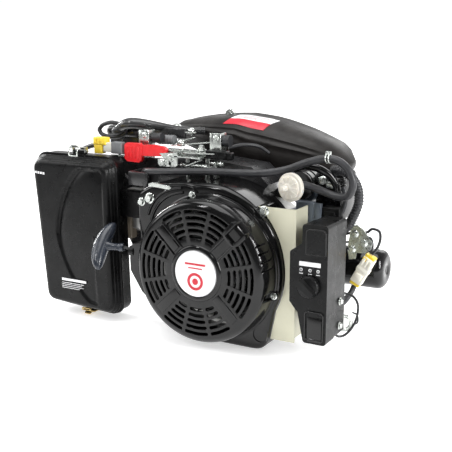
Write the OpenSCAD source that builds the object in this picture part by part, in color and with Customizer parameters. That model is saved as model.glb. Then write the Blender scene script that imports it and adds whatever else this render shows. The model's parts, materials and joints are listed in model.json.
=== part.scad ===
// Small air-cooled four-stroke engine with a recoil and an electric starter.
// +Y runs from the recoil starter to the power take-off, +X to the right seen from the recoil side, +Z up.
// The origin is the centre of the four base holes, on the mounting face.

/* [Engine] */
// Height of the crankshaft over the mounting face
crank_z = 133; // [128:1:138]
// Cylinder bore diameter
bore_d = 88; // [80:1:90]
// Piston stroke
stroke = 64; // [60:1:66]
// Connecting rod length between its two eyes
rod_len = 108; // [104:1:112]
// Slope of the cylinder over the horizontal
bore_slope = 25; // [20:1:28]
// Diameter of the power take-off shaft
pto_d = 25.4; // [24:0.1:26]
// Free length of the power take-off shaft
pto_len = 88; // [70:1:100]

/* [Base] */
// Base hole spacing across the engine
base_x = 195.5; // [190:0.5:198]
// Base hole spacing along the crankshaft
base_y = 104; // [98:1:108]
// Base hole diameter
base_hole_d = 11; // [9:0.5:12]

/* [Starter side] */
// Outer radius of the recoil starter's flange
recoil_r = 124; // [122:1:125]
// Radius of the flat slotted face
face_r = 109; // [107:1:110]
// Radius of the round part of the fan shroud
shroud_r = 129; // [127:1:131]

/* [Air cleaner] */
// Width of the air cleaner along its top
ac_w = 177; // [165:1:180]
// Width of the air cleaner along its bottom
ac_foot_w = 161; // [150:1:164]
// Height of the air cleaner
ac_h = 278; // [265:1:280]
// Depth of the air cleaner's cover
ac_cover_d = 28; // [24:1:30]

/* [Silencer] */
// Largest radius of the silencer
muffler_r = 48; // [46:1:50]

/* [Hidden] */
$fn = 64;
eps = 0.01;

// Along the crankshaft
case_front_y = -72;
case_back_y = 62;
pto_face_y = 80;
shroud_front_y = -165;
shroud_back_y = -78;
recoil_face_y = -212;
// Along the cylinder, from the crankshaft
throw_r = stroke / 2;
pin_u = throw_r + rod_len;
deck_u = pin_u + 31;
head_top_u = deck_u + 52;
cover_h = 44;
bore_tilt = bore_slope - 90;
// Across the cylinder: valves, rocker pivot and push rods
valve_x = -8;
pivot_x = -38;
push_x = -68;
pivot_u = head_top_u + 19;
valve_y = 20;
valve_tip_u = head_top_u + 15;
cover_bolt_x = [-72, 16];
fin_low = -80;
fin_high = 66;
fin_half = 62;
fin_pitch = 9;
// Valve gear and timing gears
gear_module = 1.75;
crank_teeth = 28;
cam_teeth = 56;
cam_angle = 235;
cam_dist = gear_module * (crank_teeth + cam_teeth) / 2;
cam_x = cam_dist * cos(cam_angle);
cam_z = crank_z + cam_dist * sin(cam_angle);
gear_y0 = 40;
gear_y1 = 52;
cover_bolt_points = [
  for (a = [0, 90, 180, 270]) [70 * cos(a), crank_z + 70 * sin(a)],
  [-84, 24], [84, 24], [-90, 84], [84, 84]
];
// Fits
running = 0.05;
gap = 0.4;
// Recoil starter: reel, rope and handle
post_r = 9;
reel_r = 62;
coil_r = 55;
rope_d = 5;
rope_y = -199;
rope_z = 152;
guide_x = -128;
pull_yaw = 8;
handle_pos = [-190, -208, 156];
handle_tilt = 44;
handle_half = 41;
// Electric starter
ring_r = 101;
starter_angle = 30;
starter_dist = 112;
starter_x = starter_dist * cos(starter_angle);
starter_z = crank_z + starter_dist * sin(starter_angle);
starter_r = 30;
solenoid_x = 122;
solenoid_z = 252;
// Air cleaner: the outline's corners, from the top left clockwise
ac_right_x = -207;
ac_top_z = 292;
ac_front_y = -165;
ac_seam_y = ac_front_y + ac_cover_d;
ac_back_y = -103;
ac_outline = [
  [ac_right_x - ac_w, ac_top_z], [ac_right_x, ac_top_z],
  [ac_right_x + 8, ac_top_z - ac_h - 2], [ac_right_x + 8 - ac_foot_w, ac_top_z - ac_h + 6]
];
ac_mid_x = ac_right_x - ac_w / 2;
// The base is narrower than its cover on the right
ac_base_outline = [for (p = ac_outline) p[0] > ac_mid_x ? p - [12, 0] : p];
ac_low_x = -278;
ac_low_z = ac_top_z - ac_h + 2;
// Carburettor axis
// Control box
box_x = 196;
box_z = 135;
box_w = 42;
box_h = 188;
box_front_y = -190;
box_seam_y = -156;
box_back_y = -112;
box_plate_y = shroud_front_y + 14;
shroud_points = [[-122, 238], [92, 234], [92, 30], [-96, 34]];
recoil_bolt_angles = [15, 135, 255];
knob_x = 188;
knob_z = 133;
// Control bracket and choke lever
deck_z = 304;
lever_x = -64;
lever_y = -84;
// Silencer: its stations along the engine, as x, y range, z and radius
muffler_stations = [
  [-190, [62, 96], 326, 24], [-140, [54, 106], 322, 36], [-100, [50, 110], 319, 44],
  [-50, [50, 108], 319, 47], [30, [50, 102], 307, muffler_r], [10, [52, 100], 286, muffler_r],
  [114, [53, 86], 287, 44]
];
// Fuel filter
filter_pos = [130, -136, 273];
// Oil filler and oil filter, on the right of the crankcase
filler_y = -36;
filler_z = 66;
oil_y = 20;
oil_z = 115;

// ---------- helpers ----------

// Extrudes a front view (x right, z up) from y_back towards the recoil side.
module front(y_back, depth) {
  translate([0, y_back, 0]) rotate([90, 0, 0]) linear_extrude(depth) children();
}
// Cylinder along Y from y0 to y1.
module cyl_y(x, z, y0, y1, r, fn = 64) {
  translate([x, y1, z]) rotate([90, 0, 0]) cylinder(r = r, h = y1 - y0, $fn = fn);
}
// Cone along Y: r0 at y0, r1 at y1.
module cone_y(x, z, y0, y1, r0, r1) {
  translate([x, y1, z]) rotate([90, 0, 0]) cylinder(r1 = r1, r2 = r0, h = y1 - y0);
}
// Cylinder along X from x0 to x1.
module cyl_x(y, z, x0, x1, r, fn = 64) {
  translate([x0, y, z]) rotate([0, 90, 0]) cylinder(r = r, h = x1 - x0, $fn = fn);
}
// Box from its two corners.
module span(a, b) {
  translate(a) cube(b - a);
}
// Rectangle with round corners, centred.
module round_rect(w, h, r) {
  square([w - 2 * r, h], center = true);
  square([w, h - 2 * r], center = true);
  for (i = [-1, 1], j = [-1, 1])
    translate([i * (w / 2 - r), j * (h / 2 - r)]) circle(r = r);
}
// Things placed on the cylinder: z along the bore from the crankshaft, x up across it.
module on_bore(u = 0) {
  translate([0, 0, crank_z]) rotate([0, bore_tilt, 0]) translate([0, 0, u]) children();
}
// Hexagon-head bolt along +Z of its own frame: head above zero, shank below.
module hex_bolt(d, shank, head_h = 0) {
  h = head_h > 0 ? head_h : 0.65 * d;
  cylinder(r = 0.95 * d, h = h, $fn = 6);
  cylinder(r = 1.25 * d, h = 0.18 * d, $fn = 32);
  translate([0, 0, -shank]) cylinder(r = d / 2, h = shank + eps, $fn = 24);
}
// Bolt whose head faces the recoil side.
module bolt_front(x, y, z, d, shank) {
  translate([x, y, z]) rotate([90, 0, 0]) hex_bolt(d, shank);
}
// Bolt whose head faces the power take-off side.
module bolt_back(x, y, z, d, shank) {
  translate([x, y, z]) rotate([-90, 0, 0]) hex_bolt(d, shank);
}
// Spur gear outline with straight flanks, one tooth on the x axis.
module gear_2d(teeth, turn = 0) {
  rp = gear_module * teeth / 2;
  half = 90 / teeth;
  points = [for (i = [0 : teeth - 1], k = [0 : 3])
    let (
      a = turn + i * 360 / teeth + [-1.30, -0.42, 0.42, 1.30][k] * half,
      r = (k == 0 || k == 3) ? rp - 1.2 * gear_module : rp + 0.85 * gear_module
    )
    r * [cos(a), sin(a)]];
  polygon(points);
}
// Tube of constant radius along a list of points.
function unit(v) = v / norm(v);
function tangent(p, i) =
  unit(p[min(i + 1, len(p) - 1)] - p[max(i - 1, 0)]);
function side_of(t) =
  let (ref = abs(t[2]) > 0.9 ? [1, 0, 0] : [0, 0, 1]) unit(cross(t, ref));
function carried(t, n) = unit(n - (n * t) * t);
function normals(p, i = 0, n = undef) =
  i >= len(p) ? [] :
  let (t = tangent(p, i), m = is_undef(n) ? side_of(t) : carried(t, n))
  concat([m], normals(p, i + 1, m));
module tube(p, r, sides = 10) {
  n = normals(p);
  last = len(p) - 1;
  rings = [for (i = [0 : last], k = [0 : sides - 1])
    let (t = tangent(p, i), b = cross(t, n[i]), a = 360 * k / sides)
    p[i] + r * (cos(a) * n[i] + sin(a) * b)];
  walls = [for (i = [0 : last - 1], k = [0 : sides - 1])
    let (q = (k + 1) % sides)
    [i * sides + k, (i + 1) * sides + k, (i + 1) * sides + q, i * sides + q]];
  polyhedron(rings, concat(
    walls,
    [[for (k = [0 : sides - 1]) k]],
    [[for (k = [sides - 1 : -1 : 0]) last * sides + k]]
  ));
}
// Smooth points through a few chosen ones.
function smooth_at(p, i, t) =
  let (
    a = p[max(i - 1, 0)], b = p[i], c = p[i + 1], d = p[min(i + 2, len(p) - 1)]
  )
  0.5 * (2 * b + (c - a) * t + (2 * a - 5 * b + 4 * c - d) * t * t
    + (3 * b - a - 3 * c + d) * t * t * t);
function smooth(p, n = 5) = concat(
  [for (i = [0 : len(p) - 2], k = [0 : n - 1]) smooth_at(p, i, k / n)],
  [p[len(p) - 1]]
);
// Polygon with its corners rounded by arcs.
function corner(a, b, c, r, n) =
  let (
    u = unit(a - b), v = unit(c - b), half = acos(u * v) / 2,
    m = b + unit(u + v) * r / sin(half),
    p = b + u * r / tan(half) - m, q = b + v * r / tan(half) - m,
    a0 = atan2(p[1], p[0]), turn = atan2(p[0] * q[1] - p[1] * q[0], p * q)
  )
  [for (i = [0 : n]) m + r * [cos(a0 + turn * i / n), sin(a0 + turn * i / n)]];
function rounded(p, r, n = 8) =
  let (k = len(p))
  [for (i = [0 : k - 1]) each corner(p[(i + k - 1) % k], p[i], p[(i + 1) % k], r, n)];
// The outline moved inwards by d, for near-rectangular outlines.
function inset(p, d) =
  let (k = len(p))
  [for (i = [0 : k - 1])
    let (
      u = unit(p[(i + k - 1) % k] - p[i]), v = unit(p[(i + 1) % k] - p[i]),
      half = acos(u * v) / 2
    )
    p[i] + unit(u + v) * d / sin(half)];

// ---------- crankcase and its covers ----------

module case_outline(grow = 0) {
  translate([0, crank_z]) circle(r = 80 + grow);
  translate([cam_x, cam_z]) circle(r = 60 + grow);
  translate([-94, 8]) square([188, 100]);
}
module case_hollow() {
  translate([0, crank_z]) circle(r = 66);
  translate([cam_x, cam_z]) circle(r = 54);
  translate([-80, 14]) square([160, 86]);
}
module bore_fins(u0, count) {
  for (i = [0 : count - 1])
    translate([fin_low, -fin_half, u0 + i * fin_pitch])
      cube([fin_high - fin_low, 2 * fin_half, 2.6]);
}
module push_rod_tunnels(u0, u1, r) {
  for (s = [-1, 1]) translate([push_x, s * valve_y, u0]) cylinder(r = r, h = u1 - u0);
}
module crankcase() {
  color("dimgray") difference() {
    union() {
      front(case_back_y, case_back_y - case_front_y) case_outline();
      span([-112, -68, 0], [112, case_back_y, 14]);
      for (i = [-1, 1]) span([i * 70 - 3, -68, 10], [i * 70 + 3, case_back_y, 60]);
      on_bore() {
        translate([0, 0, 60]) cylinder(r = 53, h = deck_u - 60);
        bore_fins(88, 9);
        push_rod_tunnels(70, deck_u, 9.5);
        translate([fin_low, -56, deck_u - 7]) cube([fin_high - fin_low - 6, 112, 7]);
      }
      // Boss of the oil filter on the right
      cyl_x(oil_y, oil_z, 70, 96, 27);
    }
    front(case_back_y + eps, case_back_y + 52) case_hollow();
    cyl_y(0, crank_z, -69, -50, 36);
    cyl_y(0, crank_z, -80, -60, 24);
    cyl_y(cam_x, cam_z, -61, -50, 8 + running);
    on_bore() {
      translate([0, 0, 30]) cylinder(r = bore_d / 2, h = deck_u);
      push_rod_tunnels(30, deck_u + 1, 6);
    }
    for (i = [-1, 1], j = [-1, 1])
      translate([i * base_x / 2, j * base_y / 2, -1]) cylinder(d = base_hole_d, h = 20);
    // Oil drain and filler
    cyl_x(40, 26, 75, 130, 6);
    cyl_x(filler_y, filler_z, 75, 130, 13);
  }
}
module side_cover() {
  color("dimgray") difference() {
    union() {
      front(pto_face_y - 6, pto_face_y - 6 - case_back_y) case_outline();
      cyl_y(0, crank_z, case_back_y, pto_face_y, 58);
      for (i = [0 : 3]) translate([0, 0, crank_z]) rotate([0, 45 + i * 90, 0])
        translate([82.55, 0, 0]) cyl_y(0, 0, case_back_y, pto_face_y, 11);
      for (i = [0 : 7]) translate([0, 0, crank_z]) rotate([0, 22.5 + i * 45, 0])
        span([30, case_back_y + 8, -2.5], [76, pto_face_y - 1, 2.5]);
    }
    for (p = cover_bolt_points) cyl_y(p[0], p[1], case_back_y - 1, pto_face_y, 4.05);
    cyl_y(0, crank_z, case_back_y - 1, pto_face_y - 3, 36);
    cyl_y(0, crank_z, case_back_y, pto_face_y + 1, 22);
    cyl_y(cam_x, cam_z, case_back_y - 1, case_back_y + 9, 8 + running);
    for (i = [0 : 3]) translate([0, 0, crank_z]) rotate([0, 45 + i * 90, 0])
      translate([82.55, 0, 0]) cyl_y(0, 0, case_back_y + 2, pto_face_y + 1, 4.2);
  }
}
module case_bolts() {
  color("silver") for (p = cover_bolt_points) bolt_back(p[0], pto_face_y - 6, p[1], 8, 11);
}
module ball_bearing(y0, y1) {
  difference() {
    cyl_y(0, crank_z, y0, y1, 36);
    cyl_y(0, crank_z, y0 - 1, y1 + 1, 17.5 + running);
    difference() {
      cyl_y(0, crank_z, y0 - 1, y0 + 2, 31);
      cyl_y(0, crank_z, y0 - 2, y0 + 3, 23);
    }
    difference() {
      cyl_y(0, crank_z, y1 - 2, y1 + 1, 31);
      cyl_y(0, crank_z, y1 - 3, y1 + 2, 23);
    }
  }
}
module main_bearings() {
  color("silver") {
    ball_bearing(-69, -52);
    ball_bearing(case_back_y - 1, pto_face_y - 3);
  }
}
module oil_filler_cap() {
  color("#202022") {
    cyl_x(filler_y, filler_z, 83, 95, 12.9);
    cyl_x(filler_y, filler_z, 94.4, 108, 19);
    for (a = [0 : 30 : 150]) translate([94.4, filler_y, filler_z]) rotate([a, 0, 0])
      translate([0, -20.5, -2]) cube([12, 41, 4]);
    // Dipstick
    cyl_x(filler_y, filler_z, 40, 84, 2.5);
  }
}
module oil_drain_plug() {
  color("silver") {
    cyl_x(40, 26, 80.2, 94, 5.9);
    translate([94, 40, 26]) rotate([0, 90, 0]) cylinder(r = 10, h = 8, $fn = 6);
  }
}
module oil_filter() {
  color("#1b1b1d") {
    cyl_x(oil_y, oil_z, 96, 146, 23);
    cyl_x(oil_y, oil_z, 146, 152, 36);
    difference() {
      translate([152, oil_y, oil_z]) rotate([0, 90, 0]) rotate_extrude()
        polygon(concat([[0, 0], [33, 0], [34, 3]],
          [for (a = [0 : 15 : 90]) [20 + 14 * cos(a), 76 + 14 * sin(a)]], [[0, 90]]));
    }
    for (a = [0 : 24 : 345]) translate([230, oil_y, oil_z]) rotate([a, 0, 0])
      translate([0, 31, -3]) cube([12, 4.2, 6]);
  }
}

// ---------- cylinder head and valve gear ----------

module cylinder_head() {
  color("darkgray") difference() {
    union() {
      on_bore() {
        translate([fin_low, -56, deck_u]) cube([fin_high - fin_low - 6, 112, 9]);
        translate([-52, -52, deck_u + 8]) cube([100, 104, 36]);
        bore_fins(deck_u + 13, 3);
        push_rod_tunnels(deck_u, head_top_u, 9.5);
        translate([-92, -56, head_top_u - 8]) cube([136, 112, 8]);
        // Rocker shaft on three posts
        for (y = [-36, -4, 28]) translate([pivot_x - 6, y, head_top_u - eps]) cube([12, 8, 25]);
        translate([pivot_x, -36, pivot_u]) rotate([-90, 0, 0]) cylinder(r = 4, h = 72);
        // Intake and exhaust flanges
        translate([-26, -66, deck_u + 11]) cube([40, 20, 34]);
        translate([-26, 46, deck_u + 11]) cube([40, 20, 34]);
      }
    }
    on_bore() {
      translate([0, 0, deck_u - 1]) cylinder(r = 42, h = 15);
      push_rod_tunnels(deck_u - 1, head_top_u + 1, 6);
      for (x = [-60, 48], s = [-1, 1]) translate([x, s * 49, deck_u - 1]) {
        cylinder(r = 4.55, h = 20);
        translate([0, 0, 10]) cylinder(r = 12, h = 34);
      }
      for (s = [-1, 1], x = cover_bolt_x) translate([x, s * 47, head_top_u - 8]) cylinder(r = 3.05, h = 10);
      for (s = [-1, 1]) {
        translate([valve_x, s * valve_y, deck_u + 13]) cylinder(r = 15, h = 15);
        translate([valve_x, s * valve_y, deck_u]) cylinder(r = 3 + running, h = 60);
        translate([valve_x, s * valve_y, deck_u + 28]) rotate([s > 0 ? -90 : 90, 0, 0])
          cylinder(r = 13, h = 60);
      }
      // Spark plug seat on the upper side
      translate([30, 0, deck_u + 5]) rotate([0, 52, 0]) cylinder(r = 7, h = 60);
      translate([30, 0, deck_u + 5]) rotate([0, 52, 0]) translate([0, 0, 20]) cylinder(r = 14, h = 60);
    }
  }
}
module head_bolts() {
  color("silver") on_bore() {
    for (x = [-60, 48], s = [-1, 1]) translate([x, s * 49, deck_u + 9]) hex_bolt(9, 8);
    for (x = cover_bolt_x, s = [-1, 1]) translate([x, s * 47, head_top_u + 10]) hex_bolt(6, 16);
  }
}
module rocker_cover() {
  color("#38393b") on_bore() difference() {
    union() {
      translate([-28, 0, head_top_u]) linear_extrude(6) round_rect(126, 110, 12);
      translate([-28, 0, head_top_u]) linear_extrude(cover_h) round_rect(112, 78, 14);
      for (x = cover_bolt_x, s = [-1, 1])
        translate([x, s * 47, head_top_u]) cylinder(r = 7.5, h = 10);
      translate([-2, 16, head_top_u + cover_h - eps]) cylinder(r = 9, h = 7);
    }
    translate([-28, 0, head_top_u - 1]) linear_extrude(cover_h - 2) round_rect(106, 72, 11);
    for (x = cover_bolt_x, s = [-1, 1])
      translate([x, s * 47, head_top_u - 1]) cylinder(r = 3.1, h = 20);
  }
}
module valve(s) {
  on_bore() translate([valve_x, s * valve_y, 0]) {
    translate([0, 0, deck_u + 10.2]) cylinder(r = s > 0 ? 15.5 : 17, h = 2.5);
    translate([0, 0, deck_u + 12]) cylinder(r = 3, h = valve_tip_u - deck_u - 12);
    translate([0, 0, valve_tip_u - 5]) cylinder(r = 9, h = 3);
  }
}
module intake_valve() {
  color("silver") valve(-1);
}
module exhaust_valve() {
  color("gray") valve(1);
}
module rocker(s) {
  arm = pivot_x - push_x;
  on_bore() translate([pivot_x, s * valve_y, pivot_u]) rotate([90, 0, 0])
    translate([0, 0, -5]) difference() {
      union() {
        cylinder(r = 8, h = 10);
        for (e = [-1, 1]) translate([e * arm, valve_tip_u - pivot_u + 4.3, 0]) cylinder(r = 4, h = 10);
        translate([-arm, 0.3, 1]) cube([2 * arm, 6, 8]);
      }
      translate([0, 0, -1]) cylinder(r = 4 + running, h = 12);
    }
}
module intake_rocker() {
  color("gray") rocker(-1);
}
module exhaust_rocker() {
  color("gray") rocker(1);
}
module push_rod(s) {
  on_bore() translate([push_x, s * valve_y, 0]) {
    translate([0, 0, 31]) cylinder(r = 9, h = 4);
    translate([0, 0, 35 - eps]) cylinder(r = 3.5, h = valve_tip_u - 35);
  }
}
module intake_push_rod() {
  color("silver") push_rod(-1);
}
module exhaust_push_rod() {
  color("silver") push_rod(1);
}
// Frame along the spark plug, z outwards.
module on_plug() {
  on_bore() translate([30, 0, deck_u + 5]) rotate([0, 52, 0]) children();
}
module spark_plug() {
  color("white") on_plug() {
    translate([0, 0, 1]) cylinder(r = 6.9, h = 19.2);
    translate([0, 0, 20.1]) cylinder(r = 11.5, h = 8, $fn = 6);
    translate([0, 0, 28]) cylinder(r = 6, h = 22);
    translate([0, 0, 50]) cylinder(r = 3.5, h = 9);
  }
}
module spark_plug_cap() {
  color("#2a2a2c") on_plug() difference() {
    union() {
      translate([0, 0, 33]) cylinder(r = 11, h = 34);
      translate([0, 0, 56]) rotate([90, 0, 0]) cylinder(r = 10, h = 24);
      translate([0, 0, 56]) sphere(r = 11);
    }
    translate([0, 0, 32]) cylinder(r = 6.3, h = 18.5);
    translate([0, 0, 49]) cylinder(r = 3.8, h = 11);
  }
}
module ignition_coil() {
  color("#26262a") {
    translate([0, 0, crank_z]) rotate([0, -104, 0]) {
      span([102.5, -122, -26], [110, -108, -14]);
      span([102.5, -122, 14], [110, -108, 26]);
      span([110, -122, -26], [120, -108, 26]);
      span([104, -127, -12], [124, -103, 12]);
    }
  }
}

// ---------- running gear ----------

module piston() {
  color("lightgray") on_bore() difference() {
    translate([0, 0, pin_u - 30]) cylinder(r = bore_d / 2 - running, h = 60);
    translate([0, 0, pin_u - 31]) cylinder(r = 37, h = 53);
    translate([0, 0, pin_u]) rotate([90, 0, 0]) cylinder(r = 10, h = 100, center = true);
    for (k = [0 : 2]) translate([0, 0, pin_u + 14 + k * 5]) difference() {
      cylinder(r = 46, h = 1.6);
      translate([0, 0, -1]) cylinder(r = 42, h = 4);
    }
  }
}
module wrist_pin() {
  color("silver") on_bore() translate([0, 0, pin_u]) rotate([90, 0, 0]) difference() {
    cylinder(r = 9.98, h = 80, center = true);
    cylinder(r = 6, h = 90, center = true);
  }
}
module connecting_rod() {
  color("darkgray") on_bore() difference() {
    union() {
      translate([0, 0, throw_r]) rotate([90, 0, 0]) cylinder(r = 26, h = 24, center = true);
      translate([0, 0, pin_u]) rotate([90, 0, 0]) cylinder(r = 15, h = 20, center = true);
      translate([-8, -6, throw_r + 20]) cube([16, 12, rod_len - 30]);
    }
    translate([0, 0, throw_r]) rotate([90, 0, 0])
      cylinder(r = 18 + running, h = 40, center = true);
    translate([0, 0, pin_u]) rotate([90, 0, 0]) cylinder(r = 10 + running, h = 40, center = true);
  }
}
module crank_web(y0, y1) {
  on_bore() rotate([90, 0, 0]) translate([0, 0, -y1]) linear_extrude(y1 - y0) {
    translate([0, throw_r]) circle(r = 24);
    intersection() {
      circle(r = 55);
      translate([-60, -60]) square([120, 66]);
    }
    translate([-20, -5]) square([40, 32]);
  }
}
module crankshaft() {
  color("silver") difference() {
    union() {
      crank_web(-32, -14);
      crank_web(14, 32);
      on_bore() translate([0, 0, throw_r]) rotate([90, 0, 0]) cylinder(r = 18, h = 34, center = true);
      cyl_y(0, crank_z, -98, -30, 17.5);
      cone_y(0, crank_z, -124, -98, 13, 17.5);
      cyl_y(0, crank_z, -146, -124, 9);
      cyl_y(0, crank_z, 30, pto_face_y + 4, 17.5);
      cyl_y(0, crank_z, pto_face_y, pto_face_y + pto_len, pto_d / 2);
      front(gear_y1, gear_y1 - gear_y0) translate([0, crank_z]) gear_2d(crank_teeth, cam_angle);
    }
    span([-3.2, pto_face_y + 12, crank_z + pto_d / 2 - 3.6],
      [3.2, pto_face_y + pto_len - 10, crank_z + 20]);
    cyl_y(0, crank_z, pto_face_y + pto_len - 25, pto_face_y + pto_len + 1, 4);
  }
}
module cam_lobe(y, lift_angle) {
  front(y + 5, 10) translate([cam_x, cam_z]) {
    circle(r = 12);
    rotate(lift_angle) {
      translate([11, 0]) circle(r = 6);
      polygon([[-2, 11.8], [13, 5.6], [13, -5.6], [-2, -11.8]]);
    }
  }
}
module camshaft() {
  color("gray") {
    cyl_y(cam_x, cam_z, -60, case_back_y + 8, 8);
    cam_lobe(-valve_y, 290);
    cam_lobe(valve_y, 20);
    front(gear_y1, gear_y1 - gear_y0) translate([cam_x, cam_z])
      gear_2d(cam_teeth, cam_angle - 180 + 180 / cam_teeth);
  }
}
module flywheel() {
  color("gray") difference() {
    union() {
      cyl_y(0, crank_z, -126, -104, 94);
      cyl_y(0, crank_z, -126, -96, 30);
      front(-104, 10) translate([0, crank_z]) circle(r = ring_r - 3);
      // Starter ring gear
      front(-104, 10) translate([0, crank_z]) for (i = [0 : 71])
        rotate(i * 5) translate([ring_r - 5, -1.6]) square([5, 3.2]);
    }
    cone_y(0, crank_z, -124 - eps, -98, 13, 17.5);
    cyl_y(0, crank_z, -130, -120, 13);
    cyl_y(0, crank_z, -99, -90, 17.5);
    difference() {
      cyl_y(0, crank_z, -112, -90, 84);
      cyl_y(0, crank_z, -113, -89, 38);
    }
  }
}
module cooling_fan() {
  color("#2c2d2f") {
    difference() {
      cyl_y(0, crank_z, -129, -126, 92);
      cyl_y(0, crank_z, -130, -125, 44);
    }
    for (i = [0 : 17]) translate([0, 0, crank_z]) rotate([0, i * 20, 0])
      translate([54, -153, 0]) rotate([0, 28, 0]) cube([40, 24.5, 2.4]);
  }
}
module starter_cup() {
  color("gray") difference() {
    cyl_y(0, crank_z, -176, -126, 37);
    cyl_y(0, crank_z, -177, -129, 34.5);
    cyl_y(0, crank_z, -130, -125, 9.1);
    for (i = [0 : 2]) translate([0, 0, crank_z]) rotate([0, i * 120, 0])
      span([30, -170, -7], [40, -150, 7]);
  }
}
module flywheel_nut() {
  color("silver") difference() {
    translate([0, -129, crank_z]) rotate([90, 0, 0]) cylinder(r = 15, h = 12, $fn = 6);
    cyl_y(0, crank_z, -142, -128, 9);
  }
}

// ---------- cooling shroud and recoil starter ----------

module shroud_outline(t = 0) {
  translate([0, crank_z]) circle(r = shroud_r - t);
  translate([-5, crank_z + 5]) circle(r = shroud_r + 4 - t);
  translate([-6, crank_z + 2]) circle(r = shroud_r + 4 - t);
  translate([82, 24 + t]) circle(r = 22 - t);
  polygon([
    [-118, crank_z - 40], [-136 + t, crank_z - 40], [-146 + t, 205], [-146 + t, 246 - t],
    [-118, 262 - t], [-40, crank_z + shroud_r + 8 - t], [-20, crank_z]
  ]);
  polygon([
    [0, 2 + t], [-45, 3 + t], [-84 + t, 18 + t], [-110 + t, 38 + t], [-135 + t, 70],
    [-136 + t, crank_z - 38], [0, crank_z]
  ]);
  polygon([[0, 2 + t], [82, 2 + t], [104 - t, 24], [114 - t, 72], [0, crank_z]]);
}
module shroud_bosses(r, y0, y1) {
  for (p = shroud_points) cyl_y(p[0], p[1], y0, y1, r);
}
module fan_shroud() {
  color("#1c1c1e") difference() {
    union() {
      front(shroud_back_y, shroud_back_y - shroud_front_y) shroud_outline();
      shroud_bosses(11.5, box_plate_y, shroud_front_y + 30);
      intersection() {
        shroud_bosses(14.5, shroud_front_y, shroud_front_y + 30);
        front(shroud_back_y, shroud_back_y - shroud_front_y) shroud_outline();
      }
    }
    front(shroud_back_y + eps, shroud_back_y - shroud_front_y - 2.5) shroud_outline(2.5);
    cyl_y(0, crank_z, shroud_front_y - 1, shroud_front_y + 5, 100);
    for (a = recoil_bolt_angles) translate([0, 0, crank_z]) rotate([0, a, 0])
      cyl_y(recoil_r - 1, 0, shroud_front_y - 1, shroud_front_y + 5, 2.6);
    shroud_bosses(12, shroud_front_y - 1, box_plate_y);
    shroud_bosses(3.2, shroud_front_y - 1, shroud_front_y + 40);
  }
}
module shroud_bolts() {
  color("silver") {
    for (p = shroud_points)
      bolt_front(p[0], p[0] > 0 ? box_plate_y - 2 : box_plate_y, p[1], 6.2, 12);
    for (a = recoil_bolt_angles) translate([0, 0, crank_z]) rotate([0, a, 0])
      bolt_front(recoil_r - 1, shroud_front_y - 4, 0, 5, 6);
  }
}
// Front view of the fairing that covers the rope's way out of the reel.
fairing_pts = [[-112, 166], [-130, 164], [-134, 119], [-111, 84], [-80, 62], [-70, 133]];
// Cooling slots: rings cut by four spokes and eight ribs.
module slots_2d() {
  difference() {
    for (k = [0 : 4]) difference() {
      circle(r = 63.5 + 10.2 * k);
      circle(r = 58 + 10.2 * k);
    }
    for (a = [45, 135]) rotate(a) square([26, 260], center = true);
    for (a = [14, -14, 76, 104]) rotate(a) square([260, 5], center = true);
  }
}
module recoil_housing() {
  color("#17171a") difference() {
    union() {
      translate([0, 0, crank_z]) rotate([90, 0, 0]) rotate_extrude() polygon([
        [0, 209], [0, 212], [face_r - 3, 212],
        for (a = [75 : -15 : 15]) [recoil_r - 19 + 14 * cos(a), 198 + 14 * sin(a)],
        [recoil_r - 4, 172], [recoil_r - 3.5, 168.5], [recoil_r, 168.5], [recoil_r, 165.2],
        [recoil_r - 7, 165.2], [recoil_r - 8, 196], [face_r - 4, 209]
      ]);
      // Raised ring round the badge, spokes, post and rope guide
      difference() {
        cyl_y(0, crank_z, recoil_face_y - 2.5, recoil_face_y + 1, 46);
        cyl_y(0, crank_z, recoil_face_y - 4, recoil_face_y, 39.5);
      }
      for (a = [45, 135, 225, 315]) translate([0, 0, crank_z]) rotate([0, a, 0])
        span([48, recoil_face_y - 2, -8], [100, recoil_face_y + 1, 8]);
      front(-176, 29) polygon(fairing_pts);
      cyl_y(0, crank_z, recoil_face_y, -181, post_r);
      translate([0, 0, crank_z]) rotate([0, -45, 0]) difference() {
        span([84, recoil_face_y - 6, -13], [112, recoil_face_y + 18, 13]);
        translate([80, recoil_face_y + 4, -20]) rotate([0, 0, -28]) cube([40, 40, 40]);
      }
      translate([guide_x, rope_y, rope_z]) rotate([0, 90, 0]) cylinder(r = 9.5, h = 20);
      for (a = recoil_bolt_angles) translate([0, 0, crank_z]) rotate([0, a, 0])
        cyl_y(recoil_r - 1, 0, shroud_front_y - 4, shroud_front_y - 0.5, 8);
    }
    front(recoil_face_y + 12, 20) translate([0, crank_z]) slots_2d();
    translate([guide_x - 12, rope_y, rope_z]) rotate([0, 90, 0]) cylinder(r = 5.5, h = 31);
    front(-180, 22) intersection() {
      polygon(inset(fairing_pts, 3));
      translate([-200, 0]) square([200, 300]);
    }
    front(-175, 33) translate([0, crank_z]) circle(r = recoil_r - 8);
    for (a = recoil_bolt_angles) translate([0, 0, crank_z]) rotate([0, a, 0]) {
      cyl_y(recoil_r - 1, 0, -180, shroud_front_y, 2.6);
      cyl_y(recoil_r - 1, 0, -180, shroud_front_y - 4, 7);
    }
  }
}
module recoil_badge() {
  color("white") cyl_y(0, crank_z, recoil_face_y - 3, recoil_face_y, 38.5);
}
module recoil_reel() {
  color("#303032") difference() {
    union() {
      cyl_y(0, crank_z, -206, -192, 34);
      cyl_y(0, crank_z, -206, -204, reel_r);
      cyl_y(0, crank_z, -194, -192, reel_r);
      cyl_y(0, crank_z, -192, -188, 28);
      for (a = [0, 180]) translate([0, 0, crank_z]) rotate([0, a, 0])
        cyl_y(20, 0, -188, -166, 3);
    }
    cyl_y(0, crank_z, -210, -180, post_r + running);
  }
}
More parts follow.
